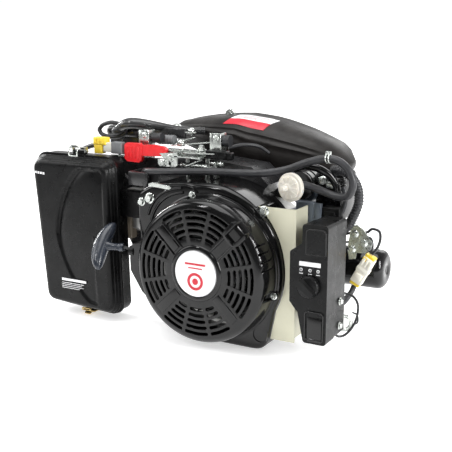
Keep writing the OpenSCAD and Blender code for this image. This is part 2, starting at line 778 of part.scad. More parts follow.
module rope_coil() {
  color("#c9c6bd") difference() {
    cyl_y(0, crank_z, -203.8, -194.2, coil_r);
    cyl_y(0, crank_z, -205, -193, 34);
  }
}
module pawl(a) {
  translate([0, 0, crank_z]) rotate([0, a, 0]) difference() {
    union() {
      cyl_y(20, 0, -187.6, -167, 6);
      span([17, -187.6, 0], [25, -167, 20]);
    }
    cyl_y(20, 0, -189, -160, 3 + running);
  }
}
module upper_pawl() {
  color("silver") pawl(180);
}
module lower_pawl() {
  color("silver") pawl(0);
}
module starter_rope() {
  a = atan2(rope_z - crank_z, guide_x) - 360 + 63.4;
  start = [(coil_r + 3) * cos(a), rope_y, crank_z + (coil_r + 3) * sin(a)];
  end = handle_pos + 42.7 * [cos(pull_yaw), sin(pull_yaw), 0];
  color("#d8d4c8") tube(smooth([
    start, [-66, rope_y, 108.5], [-90, rope_y, 126], [-104, rope_y, 141],
    [-113, rope_y, rope_z - 2.4], [-121, rope_y, rope_z - 0.2], [guide_x, rope_y, rope_z],
    end + 6 * [cos(pull_yaw), sin(pull_yaw), 0], end
  ], 3), rope_d / 2, 8);
}
// Frame of the pull handle: x against the pull, z along the grip.
module on_handle() {
  translate(handle_pos) rotate([0, 0, pull_yaw]) rotate([-handle_tilt, 0, 0]) children();
}
module pull_handle() {
  color("#3c434c") on_handle() {
    for (s = [-1, 1]) hull() {
      translate([-1, 0, 0]) sphere(r = 12, $fn = 28);
      translate([1, 0, s * 22]) sphere(r = 10.5, $fn = 28);
    }
    for (s = [-1, 1]) hull() {
      translate([1, 0, s * 22]) sphere(r = 10.5, $fn = 28);
      translate([7, 0, s * handle_half]) sphere(r = 6, $fn = 28);
    }
    rotate([0, 90, 0]) cylinder(r = 6, h = 42);
  }
}

// ---------- control box ----------

box_front_pts = [
  [box_x - box_w / 2, box_z + box_h / 2], [box_x + box_w / 2, box_z + box_h / 2],
  [box_x + box_w / 2, box_z - box_h / 2], [box_x - box_w / 2 + 4, box_z - box_h / 2],
  [box_x - box_w / 2 - 6, box_z - 46], [box_x - box_w / 2 - 20, box_z - 30],
  [box_x - box_w / 2 - 20, box_z + 50], [box_x - box_w / 2, box_z + 64]
];
module control_box_cover() {
  color("#1a1a1c") difference() {
    union() {
      front(box_seam_y, box_seam_y - box_front_y) polygon(rounded(box_front_pts, 5, 4));
      front(box_front_y + 1, 3) translate([box_x + 1, box_z + 66]) round_rect(34, 44, 4);
    }
    front(box_seam_y + eps, box_seam_y - box_front_y - 3)
      polygon(rounded(inset(box_front_pts, 3), 3, 4));
    cyl_y(knob_x, knob_z, box_front_y - 5, box_front_y + 5, 7 + running);
  }
}
module control_box() {
  color("#222224") difference() {
    front(box_back_y, box_back_y - box_seam_y) polygon(rounded(inset(box_front_pts, 1), 5, 4));
    front(box_back_y - 3, 60) polygon(rounded(inset(box_front_pts, 4), 3, 4));
  }
}
module switch_knob() {
  color("#2a2a2d") {
    cyl_y(knob_x, knob_z, box_front_y - 3, box_front_y + 12, 7);
    cyl_y(knob_x, knob_z, box_front_y - 8, box_front_y - gap, 17);
    translate([knob_x, 0, knob_z]) rotate([0, 35, 0])
      span([-17, box_front_y - 20, -5], [17, box_front_y - 7, 5]);
    cyl_y(knob_x, knob_z, box_front_y + 6, box_front_y + 10, 12);
  }
}
module box_bracket() {
  color("#b9b29c") difference() {
    union() {
      difference() {
        front(box_plate_y, 2) polygon([[80, 22], [148, 22], [148, 241], [80, 241]]);
        front(box_plate_y + 1, 4) shroud_outline(-1.5);
      }
      for (p = shroud_points) if (p[0] > 0) cyl_y(p[0], p[1], box_plate_y - 2, box_plate_y, 8.6);
      span([146, box_plate_y - 2, 30], [148, box_back_y + 4, 241]);
      span([146, box_back_y, 60], [210, box_back_y + 2, 205]);
    }
    for (p = shroud_points) cyl_y(p[0], p[1], box_plate_y - 5, box_plate_y + 3, 3.2);
  }
}
module starter_motor() {
  color("#26282c") {
    cyl_y(starter_x, starter_z, -60, 56, starter_r);
    difference() {
      cyl_y(starter_x, starter_z, -75, -60, starter_r + 2);
      cyl_y(starter_x, starter_z, -80, -68, 6 + running);
    }
    cyl_y(starter_x, starter_z, 56, 62, starter_r - 5);
    cyl_y(solenoid_x, solenoid_z, -58, 2, 17);
    cyl_y(solenoid_x, solenoid_z, 2, 10, 13);
    for (s = [-1, 1]) cyl_y(solenoid_x + s * 7, solenoid_z, 10, 20, 3);
    translate([starter_x, 0, starter_z]) rotate([0, 22, 0]) span([-8, -50, 24], [8, -8, 54]);
    // Mounting ears
    span([starter_x - 34, -77.5, starter_z - 62], [starter_x - 4, case_front_y - gap, starter_z - 20]);
  }
}
module starter_pinion() {
  color("silver") {
    cyl_y(starter_x, starter_z, -100, -68.5, 6);
    front(-80, 12) translate([starter_x, starter_z]) gear_2d(11, 0);
  }
}

// ---------- carburettor, air cleaner and fuel ----------

module carburetor() {
  color("silver") {
    // Insulator and body on the intake flange
    on_bore() translate([-26, -70, deck_u + 11]) cube([40, 4, 34]);
    cyl_y(-190, 212, -78, -68, 18.5);
    span([-214, -96, 189.5], [-168, -77, 236]);
    translate([-191, 0, 213]) rotate([0, 20, 0]) cyl_y(0, 0, -103, -90, 21.5);
    // Float bowl
    translate([-191, -86, 160]) cylinder(r = 9, h = 12);
    translate([-191, -86, 165]) cylinder(r = 17, h = 26);
    // Fuel inlet
    translate([-180, -86, 236 - eps]) cylinder(r = 4.5, h = 14);
  }
}
module air_cleaner_base() {
  color("#19191b") difference() {
    union() {
      front(ac_back_y, ac_back_y - ac_seam_y - gap) polygon(rounded(inset(ac_base_outline, -4.5), 20));
      front(ac_seam_y + 5, 5 - gap) {
        polygon(rounded(inset(ac_base_outline, -6), 21));
        polygon(rounded(inset(ac_outline, -0.5), 19));
      }
      // Duct to the carburettor
      span([-222, ac_back_y - 20, 190], [-168, ac_back_y, 236]);
      // Latch lugs
      span([ac_mid_x - 12, ac_seam_y + 5, ac_top_z + 1], [ac_mid_x + 12, ac_back_y - 18, ac_top_z + 13]);
      span([ac_low_x - 12, ac_seam_y + 5, ac_low_z - 12], [ac_low_x + 12, ac_back_y - 18, ac_low_z]);
    }
    front(ac_back_y - 3, 60) polygon(rounded(inset(ac_base_outline, 2), 16));
    span([-230, ac_back_y - 16, 196], [-176, ac_back_y - 4, 230]);
    cyl_y(-191, 213, ac_back_y - 17, ac_back_y + 1, 16);
  }
}
module air_filter_element() {
  color("#b8b06a") difference() {
    front(ac_back_y - 5, 26) polygon(rounded(inset(ac_base_outline, 12), 12));
    front(ac_back_y - 4, 28) polygon(rounded(inset(ac_base_outline, 34), 8));
  }
}
module air_cleaner_cover() {
  color("#161618") {
    difference() {
      union() {
        front(ac_seam_y, ac_cover_d - 8) polygon(rounded(ac_outline, 18));
        front(ac_seam_y, ac_cover_d - 3) polygon(rounded(inset(ac_outline, 3), 16));
        front(ac_seam_y, ac_cover_d) polygon(rounded(inset(ac_outline, 7), 14));
        front(ac_seam_y, 5) polygon(rounded(inset(ac_outline, -2), 19));
      }
      front(ac_seam_y + eps, ac_cover_d - 4) polygon(rounded(inset(ac_outline, 11), 11));
      front(ac_seam_y + eps, ac_cover_d - 12) polygon(rounded(inset(ac_outline, 3.5), 15));
    }
  }
}
// Over-centre latch: two cheeks on a pin, a bridge and a hook over the cover's rim.
module latch(x, z, s, lift, high) {
  translate([x, 0, z]) mirror([0, 0, s > 0 ? 0 : 1]) {
    for (i = [-1, 1])
      span([i * 15 - 1, ac_seam_y + 3.5, lift], [i * 15 + 1, ac_back_y - 19, lift + high]);
    span([-16, ac_seam_y - 10, lift + high - 2], [16, ac_seam_y + 4, lift + high]);
    span([-16, ac_seam_y - 10, 4.2], [16, ac_seam_y - 8, lift + high]);
  }
}
module upper_latch() {
  color("silver") latch(ac_mid_x, ac_top_z, 1, 8, 11);
}
module lower_latch() {
  color("silver") latch(ac_low_x, ac_low_z, -1, 7.5, 7);
}
module control_bracket() {
  color("#c4c8c8") {
    span([-104, -122, deck_z], [-44, -60, deck_z + 2]);
    span([-178, -94, deck_z + 4], [-104, -78, deck_z + 6]);
    span([-106, -122, deck_z], [-104, -60, deck_z + 6]);
    // Front tab
    span([-106, -124, deck_z - 12], [-104, -122, deck_z + 2]);
    span([-128, -124, deck_z - 17], [-104, -122, deck_z - 5]);
    // Cable clamps
    for (x = [-175, -35]) {
      span([x - 9, -94, deck_z + 6], [x + 9, -78, deck_z + 22]);
      translate([x, -86, deck_z + 22]) cylinder(r = 9, h = 3);
      translate([x, -86, deck_z + 25]) cylinder(r = 7, h = 13, $fn = 6);
    }
    span([-46, -94, deck_z + 2], [-22, -78, deck_z + 6]);
    bolt_front(-117, -124, deck_z - 11, 5, 2);
    // Feet down to the shroud
    span([-100, -78, 262], [-92, -62, deck_z]);
    span([-60, -78, 262], [-52, -62, deck_z]);
  }
}
module choke_lever() {
  color("#d8151c") {
    span([-204, lever_y - 22, deck_z - 12], [-172, lever_y - 17, deck_z + 14]);
    span([-180, lever_y - 22, deck_z - 4], [-125, lever_y - 14, deck_z + 16]);
    difference() {
      union() {
        span([-130, lever_y - 20, deck_z + 8], [lever_x, lever_y + 4, deck_z + 10]);
        translate([lever_x, lever_y, deck_z + 2.4]) cylinder(r = 9, h = 9);
      }
      translate([lever_x, lever_y, deck_z]) cylinder(r = 3.05, h = 30);
    }
  }
}
module governor_arm() {
  color("silver") {
    span([-22, -116, deck_z - 32], [-18, -100, deck_z - 4]);
    cyl_x(-108, deck_z - 8, -30, -12, 2.5);
  }
}
module governor_spring() {
  color("silver") translate([-98, -110, deck_z - 14]) rotate([0, 90, 0]) {
    cylinder(r = 0.9, h = 74);
    translate([0, 0, 8]) cylinder(r = 4.2, h = 56);
  }
}
module fuel_filter() {
  color("#d9cfb2") translate(filter_pos) rotate([0, 0, -12]) {
    rotate([90, 0, 0]) cylinder(r = 23, h = 9, center = true);
    rotate([90, 0, 0]) cylinder(r = 19, h = 16, center = true);
    rotate([90, 0, 0]) translate([0, 0, 7]) cylinder(r = 4, h = 18);
    rotate([-90, 0, 0]) translate([0, 0, 7]) cylinder(r = 4, h = 14);
  }
}
hose_route = [
  [-180, -86, 250.6], [-180, -86, 256], [-179, -88, 261], [-172, -102, 269],
  [-150, -124, 276], [-110, -130, 279],
  [-23, -132, 286],
  [40, -130, 288], [76, -126, 290], [110, -112, 296], [140, -104, 308], [172, -102, 317],
  [196, -104, 315], [214, -106, 302], [222, -106, 280], [214, -104, 262], [196, -102, 258],
  [170, -100, 264], [148, -104, 271], [137, -108, 273], [134.5, -115, 273]
];
module fuel_hose() {
  color("#2b2b30") tube(smooth(hose_route, 4), 6.2, 12);
}
module muffler() {
  color("#1b1b1c") {
    hull() for (b = muffler_stations, y = b[1])
      translate([b[0], y, b[2]]) rotate([0, 0, b[3] / 15]) sphere(r = b[3], $fn = 32);
    // Exhaust pipe from the head and its flange
    on_bore() translate([-26, 66.2, deck_u + 11]) cube([40, 6, 34]);
    cyl_y(-184, 213, 70, 99, 15);
    translate([-184, 84, 213]) rotate([0, 32, 0]) cylinder(r = 13.2, h = 100);
  }
}
module muffler_bracket() {
  color("#303133") {
    span([-14, pto_face_y, 184], [14, pto_face_y + 3, 235]);
    span([-14, 58, 232], [14, pto_face_y + 3, 235]);
  }
}
loom_routes = [
  [[207, -44, 99], [204, -50, 88], [199, -68, 76], [192, -92, 70], [190, -109.5, 68]],
  [[236.5, -44, 156], [244, -42, 172], [240, -36, 192], [222, -30, 200], [196, -30, 188],
    [166, -34, 178], [140, -40, 184]],
  [[204, -124, 40.5], [206, -122, 32], [218, -112, 24], [234, -98, 32], [240, -84, 56],
    [228, -76, 82], [208, -84, 96], [198, -98, 100], [196, -109.5, 100]]
];
module wiring_loom() {
  color("#1d1d1f") for (route = loom_routes) tube(smooth(route, 4), 4.5, 8);
}
module wire_connectors() {
  color("#e8e6da") translate([222, -44, 128]) rotate([0, 28, 0])
    span([-12, -8, -30], [12, 8, 30]);
}

crankcase();
side_cover();
case_bolts();
main_bearings();
oil_filler_cap();
oil_drain_plug();
oil_filter();
cylinder_head();
head_bolts();
rocker_cover();
intake_valve();
exhaust_valve();
intake_rocker();
exhaust_rocker();
intake_push_rod();
exhaust_push_rod();
spark_plug();
spark_plug_cap();
ignition_coil();
piston();
wrist_pin();
connecting_rod();
crankshaft();
camshaft();
flywheel();
cooling_fan();
starter_cup();
flywheel_nut();
fan_shroud();
shroud_bolts();
recoil_housing();
recoil_badge();
recoil_reel();
rope_coil();
upper_pawl();
lower_pawl();
starter_rope();
pull_handle();
control_box();
control_box_cover();
switch_knob();
box_bracket();
starter_motor();
starter_pinion();
carburetor();
air_cleaner_base();
air_filter_element();
air_cleaner_cover();
upper_latch();
lower_latch();
control_bracket();
choke_lever();
governor_arm();
governor_spring();
fuel_filter();
fuel_hose();
muffler();
muffler_bracket();
wiring_loom();
wire_connectors();
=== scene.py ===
import json
import math
import bpy
import bmesh
from mathutils import Matrix, Vector


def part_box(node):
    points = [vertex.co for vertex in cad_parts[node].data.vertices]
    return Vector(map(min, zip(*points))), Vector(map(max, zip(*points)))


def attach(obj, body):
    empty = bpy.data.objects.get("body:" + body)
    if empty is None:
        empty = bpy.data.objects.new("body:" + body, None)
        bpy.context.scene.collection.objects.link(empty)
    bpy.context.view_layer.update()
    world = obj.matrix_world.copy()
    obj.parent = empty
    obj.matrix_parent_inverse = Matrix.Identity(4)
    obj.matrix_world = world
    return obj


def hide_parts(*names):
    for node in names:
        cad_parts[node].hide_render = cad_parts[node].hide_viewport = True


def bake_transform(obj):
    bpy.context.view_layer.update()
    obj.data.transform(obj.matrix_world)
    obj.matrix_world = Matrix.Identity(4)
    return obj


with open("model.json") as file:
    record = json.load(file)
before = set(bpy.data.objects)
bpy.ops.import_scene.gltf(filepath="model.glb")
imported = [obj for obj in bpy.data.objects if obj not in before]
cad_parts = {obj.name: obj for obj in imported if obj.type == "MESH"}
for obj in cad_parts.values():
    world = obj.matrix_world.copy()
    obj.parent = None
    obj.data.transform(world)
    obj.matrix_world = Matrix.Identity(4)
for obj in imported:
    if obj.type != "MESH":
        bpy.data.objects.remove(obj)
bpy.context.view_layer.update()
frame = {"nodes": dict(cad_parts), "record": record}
nodes = frame["nodes"]

MM = 0.001
FRONT, BACK, UP, RIGHT = (0, -1, 0), (0, 1, 0), (0, 0, 1), (1, 0, 0)
scene = bpy.context.scene


# ---------- shapes: everything is in millimetres until a piece is made ----------

def V(*c):
    return Vector(c)


def place(where, *turns):
    """A place and the turns made there, each (degrees, axis)."""
    m = Matrix.Translation(where)
    for angle, axis in turns:
        m = m @ Matrix.Rotation(math.radians(angle), 4, axis)
    return m


def angles(n, start=0.0):
    return [start + 2 * math.pi * i / n for i in range(n)]


def circle(centre, s, t, r, n, start=0.0, flat=1.0):
    """Points round a centre across two directions; the radius may depend on the angle."""
    return [centre + (s * math.cos(a) + t * math.sin(a) * flat) * (r(a) if callable(r) else r)
            for a in angles(n, start)]


def smooth_path(points, k=6):
    """Catmull-Rom curve through the points."""
    p = [Vector(q) for q in points]
    p = [p[0] * 2 - p[1]] + p + [p[-1] * 2 - p[-2]]
    out = []
    for i in range(1, len(p) - 2):
        a, b, c, d = p[i - 1:i + 3]
        for j in range(k):
            t = j / k
            out.append(0.5 * (2 * b + (c - a) * t + (2 * a - 5 * b + 4 * c - d) * t ** 2
                              + (3 * b - a - 3 * c + d) * t ** 3))
    out.append(p[-2].copy())
    return out


def bevel_sharp(bm, width, segments=2, angle=32):
    """Rounds a solid's sharp edges."""
    if width > 0:
        limit = math.radians(angle)
        sharp = [e for e in bm.edges if len(e.link_faces) == 2 and e.calc_face_angle(0) > limit]
        if sharp:
            bmesh.ops.bevel(bm, geom=sharp, offset=width, offset_type="OFFSET", segments=segments,
                            profile=0.5, affect="EDGES", clamp_overlap=True)
    return bm


def skin(bm, rows, wrap=False):
    """Faces between rows of vertices; wrap joins the last row to the first."""
    n = len(rows[0])
    for a, b in zip(rows, rows[1:] + (rows[:1] if wrap else [])):
        for i in range(n):
            j = (i + 1) % n
            bm.faces.new((a[i], a[j], b[j], b[i]))


def loft(rings, cap=True):
    """Skins rings of the same number of points."""
    bm = bmesh.new()
    rows = [[bm.verts.new(p) for p in ring] for ring in rings]
    skin(bm, rows)
    if cap:
        bm.faces.new(rows[0][::-1])
        bm.faces.new(rows[-1])
    return bm


def frames(path):
    """Points of a path with two directions across it, turned as little as possible."""
    out, side = [], None
    for i, p in enumerate(path):
        d = (path[min(i + 1, len(path) - 1)] - path[max(i - 1, 0)]).normalized()
        if side is None:
            side = d.cross(V(0, 0, 1) if abs(d.z) < 0.9 else V(1, 0, 0)).normalized()
        else:
            side = (side - d * side.dot(d)).normalized()
        out.append((p, side, d.cross(side)))
    return out


def across(origin, axis):
    """Origin, unit axis and two directions across it."""
    o, d = Vector(origin), Vector(axis).normalized()
    return o, d, *frames([o, o + d])[0][1:]


class Shape:
    """Solids gathered into one mesh; slot names its main material."""

    def __init__(self, slot, width=0.6):
        self.slot, self.width = slot, width
        self.verts, self.faces, self.mats, self.face_mats = [], [], [], []

    def take(self, bm, mat=None, at=None):
        mat = M[mat or self.slot]
        if at is not None:
            bmesh.ops.transform(bm, matrix=at, verts=bm.verts)
        bmesh.ops.recalc_face_normals(bm, faces=bm.faces)
        if mat not in self.mats:
            self.mats.append(mat)
        base, k = len(self.verts), self.mats.index(mat)
        bm.verts.index_update()
        self.verts += [v.co * MM for v in bm.verts]
        self.faces += [[base + v.index for v in f.verts] for f in bm.faces]
        self.face_mats += [k] * len(bm.faces)
        bm.free()

    def solid(self, bm, w, segments, mat, at, angle=32):
        self.take(bevel_sharp(bm, self.width if w is None else w, segments, angle), mat, at)

    def box(self, lo, hi, mat=None, at=None, w=None, segments=2):
        bm = bmesh.new()
        bmesh.ops.create_cube(bm, size=1)
        for v in bm.verts:
            v.co = Vector((a + b) / 2 + c * abs(b - a) for a, b, c in zip(lo, hi, v.co))
        self.solid(bm, w, segments, mat, at)

    def rod(self, p0, p1, r, n=32, mat=None, at=None, w=None, segments=2):
        p0, p1 = Vector(p0), Vector(p1)
        (_, s, t), _ = frames([p0, p1])
        self.solid(loft([circle(p, s, t, r, n) for p in (p0, p1)]), w, segments, mat, at, 50 if n > 8 else 32)

    def lathe(self, profile, origin, axis, n=48, mat=None, at=None, lobes=None):
        """Turns (radius, height) pairs about an axis from the origin; lobes scales the radius by angle."""
        o, d, s, t = across(origin, axis)
        bm = loft([circle(o + d * h, s, t, lambda a: max(r, 1e-3) * (lobes(a, r, h) if lobes else 1), n)
                   for r, h in profile])
        bmesh.ops.remove_doubles(bm, verts=bm.verts, dist=0.01)
        self.take(bm, mat, at)

    def tube(self, points, r, n=12, k=6, flat=1.0):
        """Round bar along a smooth path; the radius may depend on the share of the length."""
        path = smooth_path(points, k)
        self.take(loft([circle(p, s, t, r(i / (len(path) - 1)) if callable(r) else r, n, flat=flat)
                        for i, (p, s, t) in enumerate(frames(path))]))

    def plate(self, pts, y0, y1, at=None, w=None, segments=2):
        """Front view polygon (x, z) given depth from y0 to y1."""
        self.solid(loft([[V(x, y, z) for x, z in pts] for y in (y0, y1)]), w, segments, None, at)

    def torus(self, centre, axis, big, small, n=48, m=12, mat=None):
        c, d, s, t = across(centre, axis)
        bm = bmesh.new()
        outs = [s * math.cos(a) + t * math.sin(a) for a in angles(n)]
        skin(bm, [[bm.verts.new(p) for p in circle(c + out * big, out, d, small, m)] for out in outs], True)
        self.take(bm, mat)

    def bolt(self, foot, axis, size=6, height=6, flange=1.5, mat=None):
        """Hexagon flange bolt head standing on a face."""
        o, d, s, t = across(foot, axis)
        self.lathe([(0, 0), (size * 1.35, 0), (size * 1.35, flange * 0.5), (size * 1.18, flange),
                    (size * 0.9, flange * 1.2), (0, flange * 1.2)], o, d, 32, mat)
        rings = [circle(o + d * h, s, t, size * k, 6, 0.3)
                 for h, k in ((flange, 1), (height * 0.84, 1), (height, 0.86))]
        self.take(bevel_sharp(loft(rings), 0.25, 1, 20), mat)
        self.lathe([(0, height * 0.8), (size * 0.62, height * 0.8), (size * 0.62, height + 0.15),
                    (size * 0.5, height - 0.5), (0, height - 0.5)], o, d, 24, mat)

    def object(self, name, smooth=38):
        me = bpy.data.meshes.new(name)
        me.from_pydata(self.verts, [], self.faces)
        for m in self.mats:
            me.materials.append(m)
        me.polygons.foreach_set("material_index", self.face_mats)
        shade(me, smooth)
        obj = bpy.data.objects.new(name, me)
        scene.collection.objects.link(obj)
        return obj

    def piece(self, name, body="engine", replaces=(), slot=None, smooth=38):
        settle(self.object(name, smooth), replaces, body)


def settle(obj, replaces=(), body="engine"):
    """Rides a piece on its body and the nodes it stands for."""
    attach(obj, body)
    if replaces:
        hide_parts(*replaces)


def shade(me, angle):
    me.polygons.foreach_set("use_smooth", [True] * len(me.polygons))
    me.set_sharp_from_angle(angle=math.radians(angle))
    me.update()


def cut(shape, cutters, name, width=0.7, smooth=38, how="DIFFERENCE"):
    """The shape less its cutters, or kept only inside them, with rounded edges."""
    a, b = shape.object(name, smooth), cutters.object(name + "_cut")
    mod = a.modifiers.new("cut", "BOOLEAN")
    mod.operation, mod.solver, mod.object = how, "EXACT", b
    if width:
        rim = a.modifiers.new("rim", "BEVEL")
        rim.width, rim.segments, rim.limit_method = width * MM, 2, "ANGLE"
        rim.angle_limit = math.radians(42)
        rim.use_clamp_overlap = True
    dg = bpy.context.evaluated_depsgraph_get()
    me = bpy.data.meshes.new_from_object(a.evaluated_get(dg))
    a.modifiers.clear()
    a.data = me
    bpy.data.objects.remove(b)
    shade(me, smooth)
    return a


# ---------- materials ----------

class Nodes:
    """A node tree with short ways to add and join nodes."""

    def __init__(self, tree):
        self.tree, self.link = tree, tree.links.new

    def new(self, kind, **values):
        node = self.tree.nodes.new("ShaderNode" + kind)
        for key, value in values.items():
            node.inputs[key.replace("_", " ")].default_value = value
        return node

    def where(self, space="Object"):
        return self.new("TexCoord").outputs[space]

    def part(self, vector, i):
        split = self.new("SeparateXYZ")
        self.link(vector, split.inputs[0])
        return split.outputs[i]

    def remap(self, value, lo, hi, to_lo, to_hi):
        span = self.new("MapRange", From_Min=lo, From_Max=hi, To_Min=to_lo, To_Max=to_hi)
        self.link(value, span.inputs["Value"])
        return span.outputs[0]

    def times(self, a, b):
        product = self.new("Math")
        product.operation = "MULTIPLY"
        self.link(a, product.inputs[0])
        self.link(b, product.inputs[1])
        return product.outputs[0]

    def noise(self, where, scale, detail=3):
        cloud = self.new("TexNoise", Scale=scale, Detail=detail, Roughness=0.55)
        self.link(where, cloud.inputs["Vector"])
        return cloud.outputs[0]

    def rounded(self, radius):
        edge = self.new("Bevel", Radius=radius * MM)
        edge.samples = 4
        return edge.outputs[0]

    def mix(self, factor, a, b):
        """Colour between a and b, each a socket or three numbers."""
        blend = self.new("Mix")
        blend.data_type = "RGBA"
        self.link(factor, blend.inputs[0])
        for colour, i in ((a, 6), (b, 7)):
            if hasattr(colour, "node"):
                self.link(colour, blend.inputs[i])
            else:
                blend.inputs[i].default_value = (*colour, 1)
        return blend.outputs[2]


DUST = (0.42, 0.39, 0.35)
WEAR_RADIUS = 1.3
GRAIN_DEPTH = 0.35 * MM


def material(name, color, rough, metal, tint, tint_scale, rough_span, grain, grain_scale, round_edge,
             wear=None, wear_amount=0.5, dust=0.0, spec=0.5, coat=0.0, flecks=0.0, subsurface=0.0):
    """Mottled colour and gloss with fine grain; rounded edges, wear, flecks or dust where they are given."""
    m = bpy.data.materials.new(name)
    m.use_nodes = True
    m.node_tree.nodes.clear()
    n = Nodes(m.node_tree)
    out = n.new("OutputMaterial")
    shader = n.new("BsdfPrincipled", Metallic=metal, Specular_IOR_Level=spec, Coat_Weight=coat,
                   Coat_Roughness=0.1)
    n.link(shader.outputs[0], out.inputs[0])
    if subsurface:
        shader.inputs["Subsurface Weight"].default_value = subsurface
        shader.inputs["Subsurface Radius"].default_value = (0.004, 0.003, 0.002)
    where = n.where()
    dark = [c * (1 - tint) for c in color]
    light = [min(1, c * (1 + tint) + tint * 0.012) for c in color]
    base = n.mix(n.remap(n.noise(where, tint_scale), 0.32, 0.68, 0, 1), dark, light)
    gloss = n.remap(n.noise(where, tint_scale * 2.3, 4), 0.3, 0.7, max(0.03, rough - rough_span),
                    rough + rough_span)
    normal = n.new("NewGeometry").outputs["Normal"]
    if wear:
        dot = n.new("VectorMath")
        dot.operation = "DOT_PRODUCT"
        n.link(n.rounded(WEAR_RADIUS), dot.inputs[0])
        n.link(normal, dot.inputs[1])
        edge = n.remap(dot.outputs["Value"], 0.995, 0.86, 0, 1)
        patchy = n.remap(n.noise(where, 160, 5), 0.62 - wear_amount * 0.25, 0.72, 0, 1)
        base = n.mix(n.times(edge, patchy), base, wear)
    if flecks:
        cells = n.new("TexVoronoi", Scale=260)
        n.link(where, cells.inputs["Vector"])
        base = n.mix(n.remap(cells.outputs["Distance"], 0.1, 0.9, 0, flecks), base, [c * 0.72 for c in color])
        gloss = n.remap(cells.outputs["Color"], 0.0, 1.0, rough - rough_span, rough + rough_span)
    if dust:
        lying = n.times(n.remap(n.part(normal, 2), 0.55, 1.0, 0, dust),
                        n.remap(n.noise(where, 35, 5), 0.4, 0.7, 0, 1))
        base = n.mix(lying, base, DUST)
    n.link(base, shader.inputs["Base Color"])
    n.link(gloss, shader.inputs["Roughness"])
    bump = n.new("Bump", Strength=grain, Distance=GRAIN_DEPTH)
    n.link(n.noise(where, grain_scale), bump.inputs["Height"])
    if round_edge:
        n.link(n.rounded(round_edge), bump.inputs["Normal"])
    n.link(bump.outputs[0], shader.inputs["Normal"])
    return m


# Colour, roughness, metal, tint and its scale, roughness span, grain and its scale, rounded edge, extras
LOOKS = {
    "cast_alloy": ((0.42, 0.42, 0.41), 0.46, 0.85, 0.16, 45, 0.1, 0.5, 1400, 0.8,
        dict(dust=0.25, wear=(0.75, 0.75, 0.74))),
    "bright_zinc": ((0.66, 0.69, 0.66), 0.26, 1.0, 0.12, 30, 0.1, 0.12, 900, 0.5, dict(flecks=0.35)),
    "brass": ((0.62, 0.46, 0.2), 0.3, 1.0, 0.15, 50, 0.1, 0.1, 900, 0.4, {}),
    "black_paint": ((0.016, 0.016, 0.017), 0.3, 0.0, 0.25, 40, 0.07, 0.12, 700, 0.8,
        dict(wear=(0.1, 0.1, 0.1), coat=0.3)),
    "black_plastic": ((0.004, 0.0041, 0.0043), 0.3, 0.0, 0.2, 35, 0.06, 0.2, 1600, 0.8,
        dict(spec=0.17, dust=0.012)),
    "gloss_plastic": ((0.0032, 0.0032, 0.0034), 0.13, 0.0, 0.2, 30, 0.04, 0.05, 500, 0.9, dict(spec=0.36)),
    "slate_plastic": ((0.02, 0.0245, 0.034), 0.26, 0.0, 0.2, 30, 0.05, 0.12, 900, 0.6, dict(spec=0.5)),
    "red_plastic": ((0.78, 0.016, 0.022), 0.36, 0.0, 0.1, 60, 0.06, 0.15, 1200, 0.6,
        dict(wear=(0.9, 0.2, 0.2), subsurface=0.06)),
    "red_print": ((0.55, 0.012, 0.03), 0.35, 0.0, 0.05, 60, 0.05, 0.05, 900, 0.1, {}),
    "white_badge": ((0.82, 0.82, 0.83), 0.3, 0.0, 0.03, 40, 0.05, 0.06, 700, 0.3, dict(coat=0.3)),
    "steel": ((0.48, 0.48, 0.49), 0.28, 1.0, 0.12, 60, 0.1, 0.25, 1500, 0.4, {}),
    "cast_iron": ((0.2, 0.2, 0.205), 0.5, 0.9, 0.2, 50, 0.1, 0.6, 1100, 0.6, {}),
    "cream_zinc": ((0.619, 0.605, 0.468), 0.34, 0.25, 0.05, 18, 0.06, 0.1, 700, 0.8,
        dict(wear=(0.86, 0.86, 0.8), wear_amount=0.2)),
    "rubber_black": ((0.014, 0.0145, 0.017), 0.42, 0.0, 0.2, 60, 0.08, 0.3, 1300, 0.4, dict(dust=0.05)),
    "kraft_sleeve": ((0.2, 0.17, 0.13), 0.5, 0.0, 0.2, 30, 0.1, 0.2, 700, 0.8, {}),
    "filter_nylon": ((0.56, 0.53, 0.47), 0.34, 0.0, 0.06, 40, 0.06, 0.1, 700, 0.5, dict(subsurface=0.25)),
    "filter_paper": ((0.6, 0.5, 0.26), 0.8, 0.0, 0.2, 90, 0.05, 0.6, 1200, 0.3, {}),
    "cream_connector": ((0.78, 0.76, 0.68), 0.36, 0.0, 0.06, 60, 0.06, 0.1, 900, 0.4,
        dict(subsurface=0.12)),
    "yellow_plastic": ((0.86, 0.62, 0.05), 0.38, 0.0, 0.08, 60, 0.06, 0.1, 900, 0.4, dict(subsurface=0.05)),
    "grey_plastic": ((0.16, 0.165, 0.17), 0.42, 0.0, 0.15, 60, 0.06, 0.2, 1200, 0.5, {}),
    "rope": ((0.028, 0.029, 0.031), 0.7, 0.0, 0.3, 300, 0.08, 0.8, 700, 0.0, {}),
    "heat_paint": ((0.0105, 0.009, 0.0083), 0.4, 0.0, 0.25, 22, 0.08, 0.4, 1100, 1.0,
        dict(wear=(0.12, 0.11, 0.1), wear_amount=0.2, dust=0.05, spec=0.22)),
    "ceramic": ((0.85, 0.84, 0.8), 0.2, 0.0, 0.04, 60, 0.04, 0.05, 900, 0.4, {}),
    "blue_grey_paint": ((0.1, 0.12, 0.145), 0.34, 0.3, 0.15, 40, 0.07, 0.15, 900, 0.6,
        dict(wear=(0.35, 0.36, 0.38))),
}
M = {name: material(name, *values, **extras) for name, (*values, extras) in LOOKS.items()}

for sub in frame["record"]["subparts"]:
    node = nodes[sub["node"]]
    node.data.materials.clear()
    node.data.materials.append(M[sub["material_slot"]])
    shade(node.data, 35)


# ---------- camera, light and floor ----------

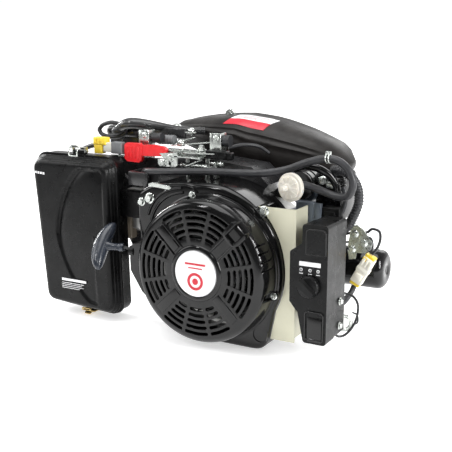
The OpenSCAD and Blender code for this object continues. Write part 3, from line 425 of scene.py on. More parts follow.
HEADING, DROP = math.radians(29), math.radians(12.5)
LOOK = V(-math.sin(HEADING) * math.cos(DROP), math.cos(HEADING) * math.cos(DROP), -math.sin(DROP))
camera = bpy.data.objects.new("camera", bpy.data.cameras.new("camera"))
scene.collection.objects.link(camera)
camera.data.lens, camera.data.sensor_width = 66.5, 36
camera.data.clip_start, camera.data.clip_end = 0.05, 60
camera.location = (0.6697, -1.3205, 0.4982)
camera.rotation_euler = LOOK.to_track_quat("-Z", "Y").to_euler()
scene.camera = camera
scene.view_settings.view_transform = "Standard"
scene.view_settings.look = "None"


def floor_paint():
    """White floor that glows: dim in front, where black faces mirror it, and brighter toward the horizon."""
    paint = material("floor", (0.88, 0.88, 0.88), 0.7, 0.0, 0.01, 3, 0.05, 0.02, 200, 0.0, spec=0.1)
    n = Nodes(paint.node_tree)
    glow = n.new("ValToRGB")
    n.link(n.remap(n.part(n.where(), 1), -1.0, 2.0, 0, 1), glow.inputs[0])
    for at, level in ((0.12, 0.5), (0.45, 0.55)):
        glow.color_ramp.elements.new(at).color = (level, level, level, 1)
    shader = n.tree.nodes["Principled BSDF"]
    n.link(glow.outputs[0], shader.inputs["Emission Color"])
    shader.inputs["Emission Strength"].default_value = 1.0
    return paint


FLOOR_REACH, FLOOR_Z = 14, -0.001
ground = bpy.data.objects.new("floor", bpy.data.meshes.new("floor"))
corners = [(x * FLOOR_REACH, y * FLOOR_REACH, FLOOR_Z) for x, y in ((-1, -1), (1, -1), (1, 1), (-1, 1))]
ground.data.from_pydata(corners, [], [(0, 1, 2, 3)])
ground.data.materials.append(floor_paint())
scene.collection.objects.link(ground)


def soft_light(name, where, size, power, tall=None):
    """Area light turned to the middle of the object."""
    data = bpy.data.lights.new(name, "AREA")
    data.energy, data.size = power, size
    if tall:
        data.shape, data.size_y = "RECTANGLE", tall
    lamp = bpy.data.objects.new(name, data)
    lamp.location = where
    lamp.rotation_euler = (V(0, 0, 0.18) - Vector(where)).to_track_quat("-Z", "Y").to_euler()
    scene.collection.objects.link(lamp)


soft_light("top", (-0.25, -0.35, 2.1), 1.5, 30)
soft_light("left", (-1.9, -1.1, 1.2), 0.7, 16, 1.5)
soft_light("right", (1.9, -0.5, 1.0), 0.5, 16, 1.3)
soft_light("front", (0.9, -2.4, 1.9), 0.4, 12)
# Small bright strips that draw crisp highlights on glossy edges
soft_light("upper_strip", (-0.9, -1.7, 1.7), 0.07, 11, 0.9)
soft_light("right_strip", (1.5, -0.2, 0.7), 0.08, 15, 0.9)
soft_light("left_strip", (-1.7, 0.1, 0.9), 0.08, 17, 0.9)
soft_light("back", (0.2, 2.2, 1.6), 1.4, 18)

# Bright behind the object and at the horizon, dimmer overhead and behind the camera
scene.world = bpy.data.worlds.new("studio")
scene.world.use_nodes = True
sky = Nodes(scene.world.node_tree)
way = sky.where("Generated")
light = sky.times(sky.remap(sky.part(way, 2), 0.05, 0.5, 1.06, 0.6),
                  sky.remap(sky.part(way, 1), -0.35, 0.45, 0.16, 1.0))
background = sky.tree.nodes["Background"]
sky.link(light, background.inputs["Color"])
background.inputs["Strength"].default_value = 0.97


# ---------- recoil starter ----------

CRANK_Z = 133
CENTRE = V(0, 0, CRANK_Z)
FACE_Y = -212
RIM_R = 124
BOLT_R = RIM_R - 1
BOLT_ANGLES = (-15, -135, -255)


def polar(r, angle, y):
    """Point round the crankshaft, the angle in degrees from +X towards +Z."""
    a = math.radians(angle)
    return V(r * math.cos(a), y, CRANK_Z + r * math.sin(a))


def arc_slot(r, half, a0, a1, steps=10):
    """Front view outline of a curved slot with round ends."""
    cap = math.degrees(half / r)
    pts = []
    for side, start, end in ((1, a0 + cap, a1 - cap), (-1, a1 - cap, a0 + cap)):
        pts += [(r + side * half, start + (end - start) * i / steps) for i in range(steps + 1)]
        pts += [(r + side * half * math.cos(t), end + side * cap * math.sin(t))
                for t in (math.pi * i / 6 for i in range(1, 6))]
    return [(q * math.cos(math.radians(a)), CRANK_Z + q * math.sin(math.radians(a))) for q, a in pts]


def recoil_cutters():
    c = Shape("gloss_plastic", 0)
    for row in range(5):
        r = 60.8 + 10.2 * row
        bar, rib = math.degrees(math.asin(13 / r)), math.degrees(math.asin(2.6 / r))
        for quarter in (0, 90, 180, 270):
            for a0, a1 in ((-45 + bar, -14 - rib), (-14 + rib, 14 - rib), (14 + rib, 45 - bar)):
                c.plate(arc_slot(r, 2.8, quarter + a0, quarter + a1), -222, -204, w=0)
    # Vent slits in the band, right of the top
    for k in range(4):
        c.box((105, -206, -1.4), (145, -180, 1.4), w=0, at=place(CENTRE, (-8 - 6.5 * k, "Y")))
    # Way out for the rope, and a stepped hole for each bolt
    c.rod((-150, -199, 152), (-100, -199, 152), 5.5, w=0)
    for a in BOLT_ANGLES:
        c.lathe([(0, 0), (8.2, 0), (8.2, 31), (2.7, 31), (2.7, 45), (0, 45)], polar(BOLT_R, a, -200),
                BACK, 32)
    return c


recoil = Shape("gloss_plastic", 0.8)
outer = [(r, FACE_Y) for r in (0.5, 44, 47, 104)]
outer += [(104.5 + 15 * math.cos(math.radians(a)), -197 - 15 * math.sin(math.radians(a)))
          for a in range(84, 4, -8)]
outer += [(120.2, -182), (120.8, -171.5), (121.8, -169.4), (RIM_R, -168.6), (RIM_R, -165.3)]
inner = [(117, -165.3), (116, -196), (112.5, -202.5), (105, -208.4), (0.5, -208.6)]
recoil.lathe([(r, -y) for r, y in outer + inner], CENTRE, FRONT, 168)
settle(cut(recoil, recoil_cutters(), "recoil_housing_shell", 0.75, 34), ["recoil_housing"])

inside = Shape("gloss_plastic", 0.8)
# Post for the reel and a lug behind each bolt
inside.rod((0, -208.8, CRANK_Z), (0, -181.2, CRANK_Z), 8.9)
for a in BOLT_ANGLES:
    inside.lathe([(2.7, 0), (8.2, 0), (8.2, 3.6), (2.7, 3.6)], polar(BOLT_R, a, -169.1), BACK, 32)
inside.piece("recoil_post")

# Fairing over the rope's way out
fairing = Shape("gloss_plastic", 0)
fairing.plate([(-100, 170), (-128, 166), (-132, 160), (-134, 140), (-133, 119), (-111, 85), (-96, 74),
               (-84, 66), (-76, 80)], -205, -176, w=7, segments=5)
way_out = Shape("gloss_plastic", 0)
way_out.rod((-150, -199, 152), (-112, -199, 152), 5.5, w=0)
settle(cut(fairing, way_out, "recoil_rope_fairing", 0, 40))

trim = Shape("gloss_plastic", 1.2)
# Collar round the badge
trim.lathe([(39.6, 210.5), (39.6, 214), (40.4, 215.2), (43.5, 215.2), (46, 213.6), (47.5, 211.5),
            (47.5, 210.5)], CENTRE, FRONT, 96)


def bar(a, r0, r1, side, width, high, w=1.4):
    """Raised bar along a spoke at angle a, set off to one side."""
    trim.box((r0, FACE_Y - high, side - width / 2), (r1, FACE_Y + 2, side + width / 2), w=w, segments=3,
             at=place(CENTRE, (-a, "Y")))


# Spoke to the upper right: two ridges that run out to a pocket at the rim
bar(45, 47, 86, 9.2, 3.6, 3.4)
bar(45, 47, 92, -9.2, 3.6, 3.4)
# Spoke to the upper left: a raised pad between two low ridges
bar(135, 50, 98, 0, 15, 1.8, 1.5)
for side in (10.4, -10.4):
    bar(135, 47, 100, side, 2.6, 2.4, 1.1)
for a in (225, 315):
    bar(a, 50, 100, 0, 16, 1.0, 0.8)
pocket = Shape("gloss_plastic", 1.5)
pocket.plate([(88, -14), (96, -17), (114, -17), (118, -12), (118, 12), (114, 17), (96, 17), (88, 14), (85, 8),
              (85, -8)], FACE_Y - 6.5, -186, w=2.6, segments=3, at=place(CENTRE, (-45, "Y")))
hollow = Shape("gloss_plastic", 0)
hollow.plate([(90, -9.5), (124, -9.5), (124, 9.5), (90, 9.5)], FACE_Y - 14, FACE_Y + 12, w=2,
             at=place(CENTRE, (-45, "Y")))
settle(cut(pocket, hollow, "recoil_corner_pocket", 0.8, 34))
trim.piece("recoil_trim")

badge = Shape("white_badge", 0.6)
badge.lathe([(0, 209.5), (38.6, 209.5), (38.6, 213.2), (38.0, 214.2), (36.6, 214.6), (0, 214.9)], CENTRE,
            FRONT, 96)
badge.piece("badge_disc", replaces=["recoil_badge"])
# Plain mark: two dashes over a ring round a dot
mark = Shape("red_print", 0.1)
for profile, n in (([(10, 214.7), (10, 215.15), (14.6, 215.15), (14.6, 214.7)], 64),
                   ([(0, 214.7), (0.01, 215.15), (5.4, 215.15), (5.4, 214.7)], 48)):
    mark.lathe(profile, CENTRE + V(0, 0, -13), FRONT, n)
for x, low, high in ((19, 14, 17.4), (13, 8, 10.2)):
    mark.box((-x, -215.2, CRANK_Z + low), (x, -214.6, CRANK_Z + high), w=0.3)
mark.piece("badge_mark", slot="white_badge")


# ---------- cooling shroud ----------

def ray_to_polygon(pts, a, cx=0, cz=CRANK_Z):
    """Distance from a centre to an outline along the angle a."""
    (dx, dz), best = (math.cos(a), math.sin(a)), 0
    for (x0, z0), (x1, z1) in zip(pts, pts[1:] + pts[:1]):
        ax, az, ex, ez = x0 - cx, z0 - cz, x1 - x0, z1 - z0
        den = dx * ez - dz * ex
        if abs(den) > 1e-9:
            t, u = (ax * ez - az * ex) / den, (ax * dz - az * dx) / den
            if t > 0 and -1e-6 <= u <= 1 + 1e-6:
                best = max(best, t)
    return best


def ray_to_circle(x, z, r, a):
    """Distance from the crankshaft to the far side of a circle along the angle a."""
    z -= CRANK_Z
    b = x * math.cos(a) + z * math.sin(a)
    q = b * b - (x * x + z * z - r * r)
    return b + math.sqrt(q) if q > 0 else 0


SHROUD_R = 129
SHROUD_FRONT, SHROUD_BACK = -165, -78
LEFT_HORN = [(-118, 93), (-136, 93), (-146, 205), (-146, 246), (-118, 262), (-40, 270), (-20, 133)]
LEFT_SKIRT = [(0, 2), (-45, 3), (-84, 18), (-110, 38), (-135, 70), (-136, 95), (0, 133)]
SKIRT = [(0, 2), (82, 2), (104, 24), (114, 72), (0, 133)]


def shroud_radius(a):
    discs = ((0, CRANK_Z, SHROUD_R), (-5, 138, SHROUD_R + 4), (-6, 135, SHROUD_R + 4), (82, 24, 22))
    return max([ray_to_circle(*disc, a) for disc in discs]
               + [ray_to_polygon(pts, a) for pts in (LEFT_HORN, LEFT_SKIRT, SKIRT)])


STEPS = 240
around = angles(STEPS)
reach = [shroud_radius(a) for a in around]
for _ in range(3):
    reach = [(reach[i - 1] + 2 * reach[i] + reach[(i + 1) % STEPS]) / 4 for i in range(STEPS)]


def shroud_ring(inset, y, reach=reach):
    """Outline of the shroud moved inwards, at a depth."""
    return [V((r - inset) * math.cos(a), y, CRANK_Z + (r - inset) * math.sin(a))
            for a, r in zip(around, reach)]


shell = Shape("gloss_plastic", 0)
SOFT = 9
MOUTH = [100] * STEPS
rings = [shroud_ring(0, SHROUD_FRONT, MOUTH)]
rings += [shroud_ring(SOFT * (1 - math.sin(t)), SHROUD_FRONT + SOFT * (1 - math.cos(t)))
          for t in (math.radians(d) for d in range(0, 91, 15))]
rings += [shroud_ring(inset, y) for inset, y in ((0, -120), (0, SHROUD_BACK), (2.5, SHROUD_BACK),
                                                 (2.5, SHROUD_FRONT + 6), (8, SHROUD_FRONT + 2.6))]
rings.append(shroud_ring(0, SHROUD_FRONT + 2.5, MOUTH))
bm = loft(rings + rings[:1], cap=False)
bmesh.ops.remove_doubles(bm, verts=bm.verts, dist=1e-4)
shell.take(bm)
PLATE_Y = -151
BOLT_POINTS = [(-122, 238), (92, 234), (92, 30), (-96, 34)]
wells, posts, well_walls, core = (Shape("gloss_plastic", w) for w in (0, 1, 0, 0))
for x, z in BOLT_POINTS[1:]:
    wells.rod((x, -175, z), (x, PLATE_Y - 0.02, z), 12.2, w=0)
    well_walls.lathe([(11.9, 0), (14.2, 0), (14.2, 13), (11.9, 13)], (x, -151, z), FRONT, 40)
for x, z in BOLT_POINTS:
    posts.rod((x, PLATE_Y, z), (x, -130, z), 11.5)
core.take(loft([shroud_ring(0.8, y) for y in (-163.5, -150)]))
settle(cut(shell, wells, "fan_shroud_shell", 0.6, 34), ["fan_shroud"])
settle(cut(well_walls, core, "shroud_bolt_wells", 0, 34, "INTERSECT"))
posts.piece("shroud_bolt_posts")

bolts = Shape("bright_zinc", 0.4)
for x, y, z, size, high, flange in (
        (-118, SHROUD_FRONT - 0.2, 238, 7, 8, 2), (-136, SHROUD_FRONT + 1.2, 230, 5.6, 6, 1.6),
        (92, PLATE_Y - 2, 234, 6.4, 7, 2), (92, PLATE_Y - 2, 30, 6.4, 7, 2),
        (-96, PLATE_Y, 34, 5.6, 6.5, 1.8)):
    bolts.bolt((x, y, z), FRONT, size, high, flange)
for a in BOLT_ANGLES:
    bolts.bolt(polar(BOLT_R, a, -169.3), FRONT, 4.3, 5.5, 1.3)
bolts.piece("shroud_bolt_heads", replaces=["shroud_bolts"])

fins = Shape("gloss_plastic", 1.0)
# Ribs over the drum's shoulder
fins.tube([polar(131, a, -161) for a in range(128, 42, -8)], 2.6, 10, 3)
for stations in (((134, 150), (137, 143), (139, 135), (138, 127), (135, 120), (131, 113)),
                 ((144, 148), (147, 142), (149, 135), (148, 128), (144, 120), (139, 113))):
    fins.tube([polar(r, a, -165.5) for r, a in stations], 2.4, 10, 4)
fins.piece("shroud_rib")


# ---------- air cleaner ----------

AC_TOP, AC_RIGHT, AC_W, AC_FOOT, AC_H = 292, -207, 177, 161, 278
AC_FRONT, AC_SEAM = -165, -137
AC_PTS = [(AC_RIGHT - AC_W, AC_TOP), (AC_RIGHT, AC_TOP), (AC_RIGHT + 8, AC_TOP - AC_H - 2),
          (AC_RIGHT + 8 - AC_FOOT, AC_TOP - AC_H + 6)]


def round_outline(pts, inset, r, n=14):
    """Corner-rounded outline moved inwards, as points (x, z)."""
    k = len(pts)
    lines = []
    for (x0, z0), (x1, z1) in zip(pts, pts[1:] + pts[:1]):
        dx, dz = x1 - x0, z1 - z0
        q = math.hypot(dx, dz)
        nx, nz = dz / q, -dx / q
        lines.append(((x0 + nx * inset, z0 + nz * inset), (dx / q, dz / q)))
    corners = []
    for i in range(k):
        (p, d), (q, e) = lines[i - 1], lines[i]
        den = d[0] * e[1] - d[1] * e[0]
        t = ((q[0] - p[0]) * e[1] - (q[1] - p[1]) * e[0]) / den
        corners.append((p[0] + d[0] * t, p[1] + d[1] * t))
    out = []
    for i in range(k):
        (cx, cz), d, e = corners[i], lines[i - 1][1], lines[i][1]
        half = (math.pi - math.acos(max(-1, min(1, -(d[0] * e[0] + d[1] * e[1]))))) / 2
        back = r * math.tan(half)
        start = (cx - d[0] * back, cz - d[1] * back)
        nx, nz = d[1], -d[0]
        ox, oz = start[0] + nx * r, start[1] + nz * r
        a0 = math.atan2(-nz, -nx)
        for j in range(n + 1):
            a = a0 - 2 * half * j / n
            out.append((ox + r * math.cos(a), oz + r * math.sin(a)))
    # even out the straight runs
    even = []
    for (x0, z0), (x1, z1) in zip(out, out[1:] + out[:1]):
        steps = max(1, int(math.hypot(x1 - x0, z1 - z0) / 6))
        even += [(x0 + (x1 - x0) * s / steps, z0 + (z1 - z0) * s / steps) for s in range(steps)]
    return even


LID_X, LID_Z = -290, 153


def cover_ring(inset, r, y):
    """The lid's outline as a ring at a depth, with the same number of points whatever its size."""
    pts = round_outline(AC_PTS, inset, r)
    reach = [(a, ray_to_polygon(pts, a, LID_X, LID_Z)) for a in angles(240)]
    return [V(LID_X + q * math.cos(a), y, LID_Z + q * math.sin(a)) for a, q in reach]


def dish(x, z):
    """How far back the lid's face lies: a curved groove that opens into a shallow dish on its right."""
    down = (AC_TOP - 14 - z) / (AC_H - 28)
    left, right = AC_RIGHT - AC_W + 12 + 24 * down, AC_RIGHT - 12 + 8 * down
    over = (x - left) / (right - left)
    if over > 0.8 and down > 0.49:
        return 0
    ring = (abs((over - 0.8) / 0.577) ** 1.6 + abs((down - 0.49) / 0.536) ** 1.6) ** (1 / 1.6)
    inward = (1 - ring) * 80
    if inward <= 0:
        return 0
    wall = min(1, inward / 4.5)
    wall = wall * wall * (3 - 2 * wall)
    low = max(0.0, min(1, (0.66 - down) / 0.3))
    return wall * (4.2 * math.exp(-max(0, inward - 5) / 7) * low + 3.0 * math.exp(-max(0, inward - 5) / 40))


# Inset, corner radius and distance in front of the seam, from the seam's flange to the face
PROFILE = ((3.5, 15, 0.2), (-2, 19, 0.2), (-2.4, 19, 2), (-2, 19, 4.4), (-0.6, 18.5, 5.4), (0.4, 18, 6.4),
           (0.4, 18, 11.5), (1.4, 17.5, 12.4), (2.2, 17, 13.4), (2.4, 17, 17.5), (3.4, 16.5, 18.6),
           (4.4, 16, 19.4), (4.8, 16, 21.5), (5.6, 15.5, 24), (7.4, 14.5, 26.2), (9.8, 13.5, 27.5),
           (13, 12, 27.9))
cover = [cover_ring(inset, r, AC_SEAM - out) for inset, r, out in PROFILE]
rim = cover[-1]
FACE_ROWS = 62
for k in range(1, FACE_ROWS):
    s = 1 - k / FACE_ROWS
    spots = [(LID_X + (p.x - LID_X) * s, LID_Z + (p.z - LID_Z) * s) for p in rim]
    cover.append([V(x, AC_FRONT + dish(x, z) * min(1, k / 3), z) for x, z in spots])
lid = Shape("black_plastic", 0)
lid.take(loft(cover))
lid.piece("air_cleaner_lid", "air_cleaner_cover", ["air_cleaner_cover"], smooth=50)


def sheet(shape, pts, half, soft):
    """Flat sheet with the given corners, thick in the Z direction."""
    shape.take(bevel_sharp(loft([[p + V(0, 0, h) for p in pts] for h in (-half, half)]), soft))


def clip(name, body, x, z, s, lift, high, pin, metal):
    """Over-centre clip: cheeks on a pin, a bridge, a wire loop and a tongue hooked over the lid's rim."""
    c = Shape(metal, 0.5)

    def p(dx, y, dz):
        return V(x + dx, y, z + s * dz)
    top = lift + high
    for i in (-1, 1):
        lo, hi = p(i * 14 - 1, AC_SEAM + 6, lift), p(i * 14 + 1, -123, top)
        c.box((lo.x, lo.y, min(lo.z, hi.z)), (hi.x, hi.y, max(lo.z, hi.z)), w=0.4)
    c.rod(p(-16.5, -125, pin), p(16.5, -125, pin), 2.2)
    sheet(c, [p(-14, -131, top - 1), p(14, -131, top - 1), p(11, AC_SEAM - 3, top),
              p(-11, AC_SEAM - 3, top)], 0.8, 0.4)
    for i in (-1, 1):
        c.tube([p(i * 14, -127, top - 1.4), p(i * 12, AC_SEAM - 3, top - 0.6),
                p(i * 10, AC_SEAM - 8, top - 3), p(i * 9, AC_SEAM - 10.2, top / 2 + 1),
                p(i * 9, AC_SEAM - 9.5, 3.6)], 1.5, 10, 5)
    c.rod(p(-9, AC_SEAM - 9.4, 3.8), p(9, AC_SEAM - 9.4, 3.8), 1.5)
    sheet(c, [p(-8, AC_SEAM - 1, top), p(8, AC_SEAM - 1, top), p(6.5, AC_SEAM - 8, top + 4),
              p(-6.5, AC_SEAM - 8, top + 4)], 0.7, 0.35)
    c.piece(name, body, [body], "bright_zinc")


clip("upper_clip", "upper_latch", AC_RIGHT - AC_W / 2, AC_TOP, 1, 8, 11, 11, "bright_zinc")
clip("lower_clip", "lower_latch", -278, AC_TOP - AC_H + 2, -1, 7.5, 3.4, 10.5, "brass")
# Plain printed bars low on the lid, and short ones at its top left
label = Shape("white_badge", 0)
for dz, w, tall in ((0, 56, 4.6), (-4.4, 50, 0.9), (-7.6, 46, 0.9), (-10.8, 50, 0.9), (-14, 40, 0.9)):
    label.box((-318, AC_FRONT - 0.35, 66 + dz), (-318 + w, AC_FRONT + 0.5, 66 + dz + tall), w=0.1)
for k in range(4):
    x, z = -371 + 6 * k, 262 - 0.4 * k
    label.box((x, AC_FRONT - 0.3, z), (x + 4.4, AC_FRONT + 0.5, z + 4), w=0.1)
label.piece("lid_print", "air_cleaner_cover")


# ---------- silencer ----------

def ease(table, x):
    """Value at x between the stations of a table."""
    x = max(table[0][0], min(table[-1][0], x))
    for (x0, v0), (x1, v1) in zip(table, table[1:]):
        if x <= x1:
            return v0 + (v1 - v0) * (x - x0) / (x1 - x0)


def soften(table, x, width=9):
    return sum(ease(table, x + width * k / 2) for k in (-2, -1, 0, 1, 2)) / 5


MUF_X = [-214, -212, -208, -200, -190, -175, -155, -130, -100, -75, -50, -25, 0, 20, 40, 55, 75, 95, 114,
         128, 140, 149, 155, 157.5, 158]
# Place along the silencer, its top, front and back there
STATIONS = [(-214, 328, 74, 84), (-208, 338, 56, 102), (-200, 345, 45, 113), (-190, 349, 38, 120),
            (-165, 354, 29, 131), (-130, 360, 16, 143), (-100, 363, 6, 153), (-50, 366, 3.5, 154),
            (0, 361, 3, 151), (30, 355, 3, 149), (75, 343, 5, 140), (114, 330, 9, 129), (135, 320, 17, 120),
            (148, 306, 32, 104), (156, 293, 52, 86), (158, 289, 64, 72)]
UNDERSIDE = [(-214, 322), (-208, 312), (-200, 305), (-190, 302), (-165, 293), (-130, 284), (-100, 275),
             (-50, 268), (-20, 243), (30, 239), (60, 241), (90, 245), (114, 244), (135, 250), (148, 262),
             (156, 278), (158, 285)]
MUF_TOP, MUF_FRONT, MUF_BACK = ([(row[0], row[k]) for row in STATIONS] for k in (1, 2, 3))
# Ribs along the skin: angle, width and height
RIBS = [(150, 3.6, 3.2), (163, 3.6, 3.2), (205, 4, 2.2), (218, 4, 2.2), (80, 4, 2.4)]
SQUARENESS = 0.8


def rounder(value, power):
    """Power of a sine or cosine that keeps its sign: below 1 it squares a round section."""
    return math.copysign(abs(value) ** power, value)


def muffler_point(x, deg, lift=0):
    """Point of the silencer's skin, the angle in degrees from the back over the top."""
    read = ease if x < -206 or x > 150 else soften
    top, bot, y0, y1 = (read(t, x) for t in (MUF_TOP, UNDERSIDE, MUF_FRONT, MUF_BACK))
    zc, yc, hz, hy = (top + bot) / 2, (y0 + y1) / 2, (top - bot) / 2, (y1 - y0) / 2
    c, s = math.cos(math.radians(deg)), math.sin(math.radians(deg))
    y, z = rounder(c, SQUARENESS) * hy, rounder(s, SQUARENESS) * hz
    along = max(0, min(1, (x + 192) / 22, (132 - x) / 26))
    grow = sum(high * math.exp(-((deg - at) / wide) ** 2) for at, wide, high in RIBS) - 1.5
    if abs(deg - 180) < 6 or deg < 6 or deg > 354:
        grow += 1.2
    q = 1 + (along * grow + lift) / max(1, math.hypot(y, z))
    return V(x, yc + y * q, zc + z * q)


muf = Shape("heat_paint", 0.8)
muf.take(loft([[muffler_point(x, 360 * i / 112) for i in range(112)] for x in MUF_X]))
muf.rod((-184, 70.2, 213), (-184, 99, 213), 15, w=1)
muf.rod((-184, 84, 213), (-131, 84, 298), 13.2)
muf.torus((-160, 84, 251), (53, 0, 85), 13.6, 2, 40, 10)
muf.box((-26, 66.4, 182), (14, 72, 216), at=place((0, 0, CRANK_Z), (-65, "Y")))
muf.piece("silencer_shell", replaces=["muffler"], smooth=50)
extras = Shape("bright_zinc", 0.5)
extras.rod((-105, 92, 361), (-105, 100, 361), 9.4, w=1.4)
extras.rod((-105, 90.8, 363), (-105, 92.4, 363), 3)
extras.piece("silencer_nuts")

# Plain white and red sticker with printed bars, slanting as it goes over the skin
STICKER_X, STICKER_LONG, STICKER_SLANT = -66, 83, 14
sticker = Shape("white_badge", 0)
for mat, turn0, turn1, u0, u1 in (("white_badge", 99, 120, 0, 1), ("red_print", 120.5, 140, 0, 1),
                                  ("red_print", 104, 106, 0.3, 0.8), ("red_print", 110, 111.5, 0.1, 0.7),
                                  ("red_print", 114, 115.5, 0.1, 0.6)):
    rings = []
    for i in range(13):
        u = u0 + (u1 - u0) * i / 12
        spots = [(turn0 + (turn1 - turn0) * j / 8, 0.7) for j in range(9)]
        spots += [(deg, -0.3) for deg, _ in spots[::-1]]
        rings.append([muffler_point(STICKER_X - STICKER_SLANT * (deg - 99) / 41 + STICKER_LONG * u, deg, lift)
                      for deg, lift in spots])
    sticker.take(loft(rings), mat)
sticker.piece("silencer_sticker")


# ---------- fuel filter and hose ----------

filt = Shape("filter_nylon", 0.5)
FILTER_AT = place((130, -136, 273), (-12, "Z"))
SEAM = [(22.2, 0.5), (23, 0.9), (23, 3), (22.6, 3.8), (20.5, 4.2), (19, 4.6), (18.6, 6.6), (16.5, 7.8)]
filt.lathe([(0, -8.4), (6, -8.6)] + [(r, -h) for r, h in SEAM[::-1]] + SEAM
           + [(9, 9.2), (6.2, 10), (5, 11.5), (0, 11.5)], (0, 0, 0), FRONT, 64, at=FILTER_AT)
filt.lathe([(0, 11), (3.9, 11), (3.9, 17), (4.8, 18.4), (4.8, 19.6), (3.9, 20.6), (3.6, 24), (2.4, 24.6),
            (0, 24.6)], (0, 0, 0), FRONT, 32, at=FILTER_AT)
filt.lathe([(0, 8), (6, 8), (4.2, 10.5), (4.2, 20), (0, 20)], (0, 0, 0), BACK, 32, at=FILTER_AT)
for k in range(12):
    filt.box((7, -9.4, -0.7), (17.5, -7.2, 0.7), w=0.4, at=FILTER_AT @ place((0, 0, 0), (30 * k, "Y")))
filt.piece("fuel_filter_body", replaces=["fuel_filter"])

HOSE = [(-180, -86, 250.6), (-180, -86, 256), (-179, -88, 261), (-172, -102, 269), (-150, -124, 276),
        (-110, -130, 279), (-23, -132, 286), (40, -130, 288), (76, -126, 290), (110, -112, 296),
        (140, -104, 308), (172, -102, 317), (196, -104, 315), (214, -106, 302), (222, -106, 280),
        (214, -104, 262), (196, -102, 258), (170, -100, 264), (148, -104, 271), (137, -108, 273),
        (134.5, -115, 273)]
hose = Shape("rubber_black")
hose.tube(HOSE, 6.2, 20, 8)
hose.piece("fuel_hose_tube", replaces=["fuel_hose"])


# ---------- pull handle and rope ----------

GRIP_AT, GRIP_YAW = V(-190, -208, 156), 8
HANDLE = place(GRIP_AT, (GRIP_YAW, "Z"), (-44, "X"))
grip = Shape("slate_plastic", 0.5)
rings = []
for k in range(41):
    t = -1 + 2 * k / 40
    size = 13.4 * math.sqrt(max(0.0, 1 - abs(t) ** 5))
    deep, wide = size * (1 - 0.36 * t * t) + 0.01, size * (1 - 0.32 * t * t) + 0.01
    rings.append([V(8.5 * abs(t) ** 2.2 - 0.5 + deep * rounder(math.cos(a), 0.88),
                    wide * rounder(math.sin(a), 0.88), 47 * t) for a in angles(40)])
grip.take(loft(rings), at=HANDLE)
grip.lathe([(0, 6), (9.5, 6), (8.2, 13), (6.4, 18), (5.9, 30), (6.4, 34), (7.2, 36), (7.2, 40), (6.4, 42),
            (3, 42), (3, 38), (0, 38)], (0, 0, 0), RIGHT, 36, at=HANDLE)
grip.piece("handle_grip", "handle", ["pull_handle"], smooth=60)

boss = Shape("black_plastic", 0.8)
boss.lathe([(3.6, 1), (3.6, -7), (4.6, -8.6), (7, -9), (8.6, -8), (9, -6), (9, 1)], (-128, -199, 152),
           RIGHT, 40)
boss.piece("rope_guide")

YAW = V(math.cos(math.radians(GRIP_YAW)), math.sin(math.radians(GRIP_YAW)), 0)
rope_end = GRIP_AT + YAW * 42.1
# The rope leaves the reel's rim where it lies straight towards the guide
REEL_R, TANGENT = 58, 63.4
leaving = math.degrees(math.atan2(152 - CRANK_Z, -128)) + TANGENT
ROPE = [polar(REEL_R, leaving, -199), (-66, -199, 108.5), (-90, -199, 126), (-104, -199, 141),
        (-113, -199, 149.6), (-121, -199, 151.8), (-128, -199, 152), rope_end + YAW * 6, rope_end]
line = Shape("rope", 0)
line.take(loft([circle(p, s, t, lambda b: 2.3 + 0.22 * math.cos(3 * b + i * 0.9), 18)
                for i, (p, s, t) in enumerate(frames(smooth_path(ROPE, 8)))]))
rope = line.object("rope_line", 60)
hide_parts("starter_rope")
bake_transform(rope)


# ---------- control box ----------

BOX_X, BOX_W, BOX_FRONT = 196, 42, -190
KNOB_X, KNOB_Z = 188, 133

panel = Shape("gloss_plastic", 0.6)
for right, top, foot in ((18, 219, 183), (16, 90, 48)):
    fr = [(BOX_X - 14, top), (BOX_X - 10, top + 3), (BOX_X + right - 4, top + 3), (BOX_X + right, top),
          (BOX_X + right, foot), (BOX_X - 14, foot)]
    for (x0, z0), (x1, z1) in zip(fr, fr[1:] + fr[:1]):
        panel.rod((x0, BOX_FRONT - 0.8, z0), (x1, BOX_FRONT - 0.8, z1), 1.4, w=0, n=12)
panel.box((BOX_X - 10, BOX_FRONT - 1.2, 44), (BOX_X + 14, BOX_FRONT + 1, 84), w=0.9)
panel.piece("box_front_frame", slot="black_plastic")

prints = Shape("white_badge", 0)
prints.box((KNOB_X - 17, BOX_FRONT - 0.5, 164), (KNOB_X + 18, BOX_FRONT + 0.4, 171), w=0.2)
for dx in (-14, 1, 14):
    prints.lathe([(1.7, 0), (1.7, 0.4), (2.6, 0.4), (2.6, 0)], (KNOB_X + dx, BOX_FRONT, 158), FRONT, 24)
    prints.box((KNOB_X + dx - 3, BOX_FRONT - 0.4, 151.6), (KNOB_X + dx + 3, BOX_FRONT + 0.4, 152.6), w=0.1)
prints.piece("box_print")

knob = Shape("black_plastic", 0.8)
knob.lathe([(7, -3), (7, 0.6), (17.2, 0.6), (17.8, 1.4), (17.6, 5), (16.4, 8.2), (14.6, 9.4), (0, 9.6)],
           (KNOB_X, BOX_FRONT, KNOB_Z), FRONT, 96,
           lobes=lambda b, r, h: 1 + (0.018 * math.cos(24 * b) if 14 < r and 1 < h < 9 else 0))
knob.plate([(-17, -4), (-14, -6), (14, -4.6), (17, -2), (17, 2), (14, 4.6), (-14, 6), (-17, 4)],
           BOX_FRONT - 20, BOX_FRONT - 7, w=1.6, segments=3, at=place((KNOB_X, 0, KNOB_Z), (38, "Y")))
for profile in ([(6.9, -10), (6.9, 3), (0, 3)], [(0, -10), (12, -10), (12, -6), (0, -6)]):
    knob.lathe(profile, (KNOB_X, BOX_FRONT, KNOB_Z), FRONT, 32)
knob.piece("selector_knob", "knob", ["switch_knob"])

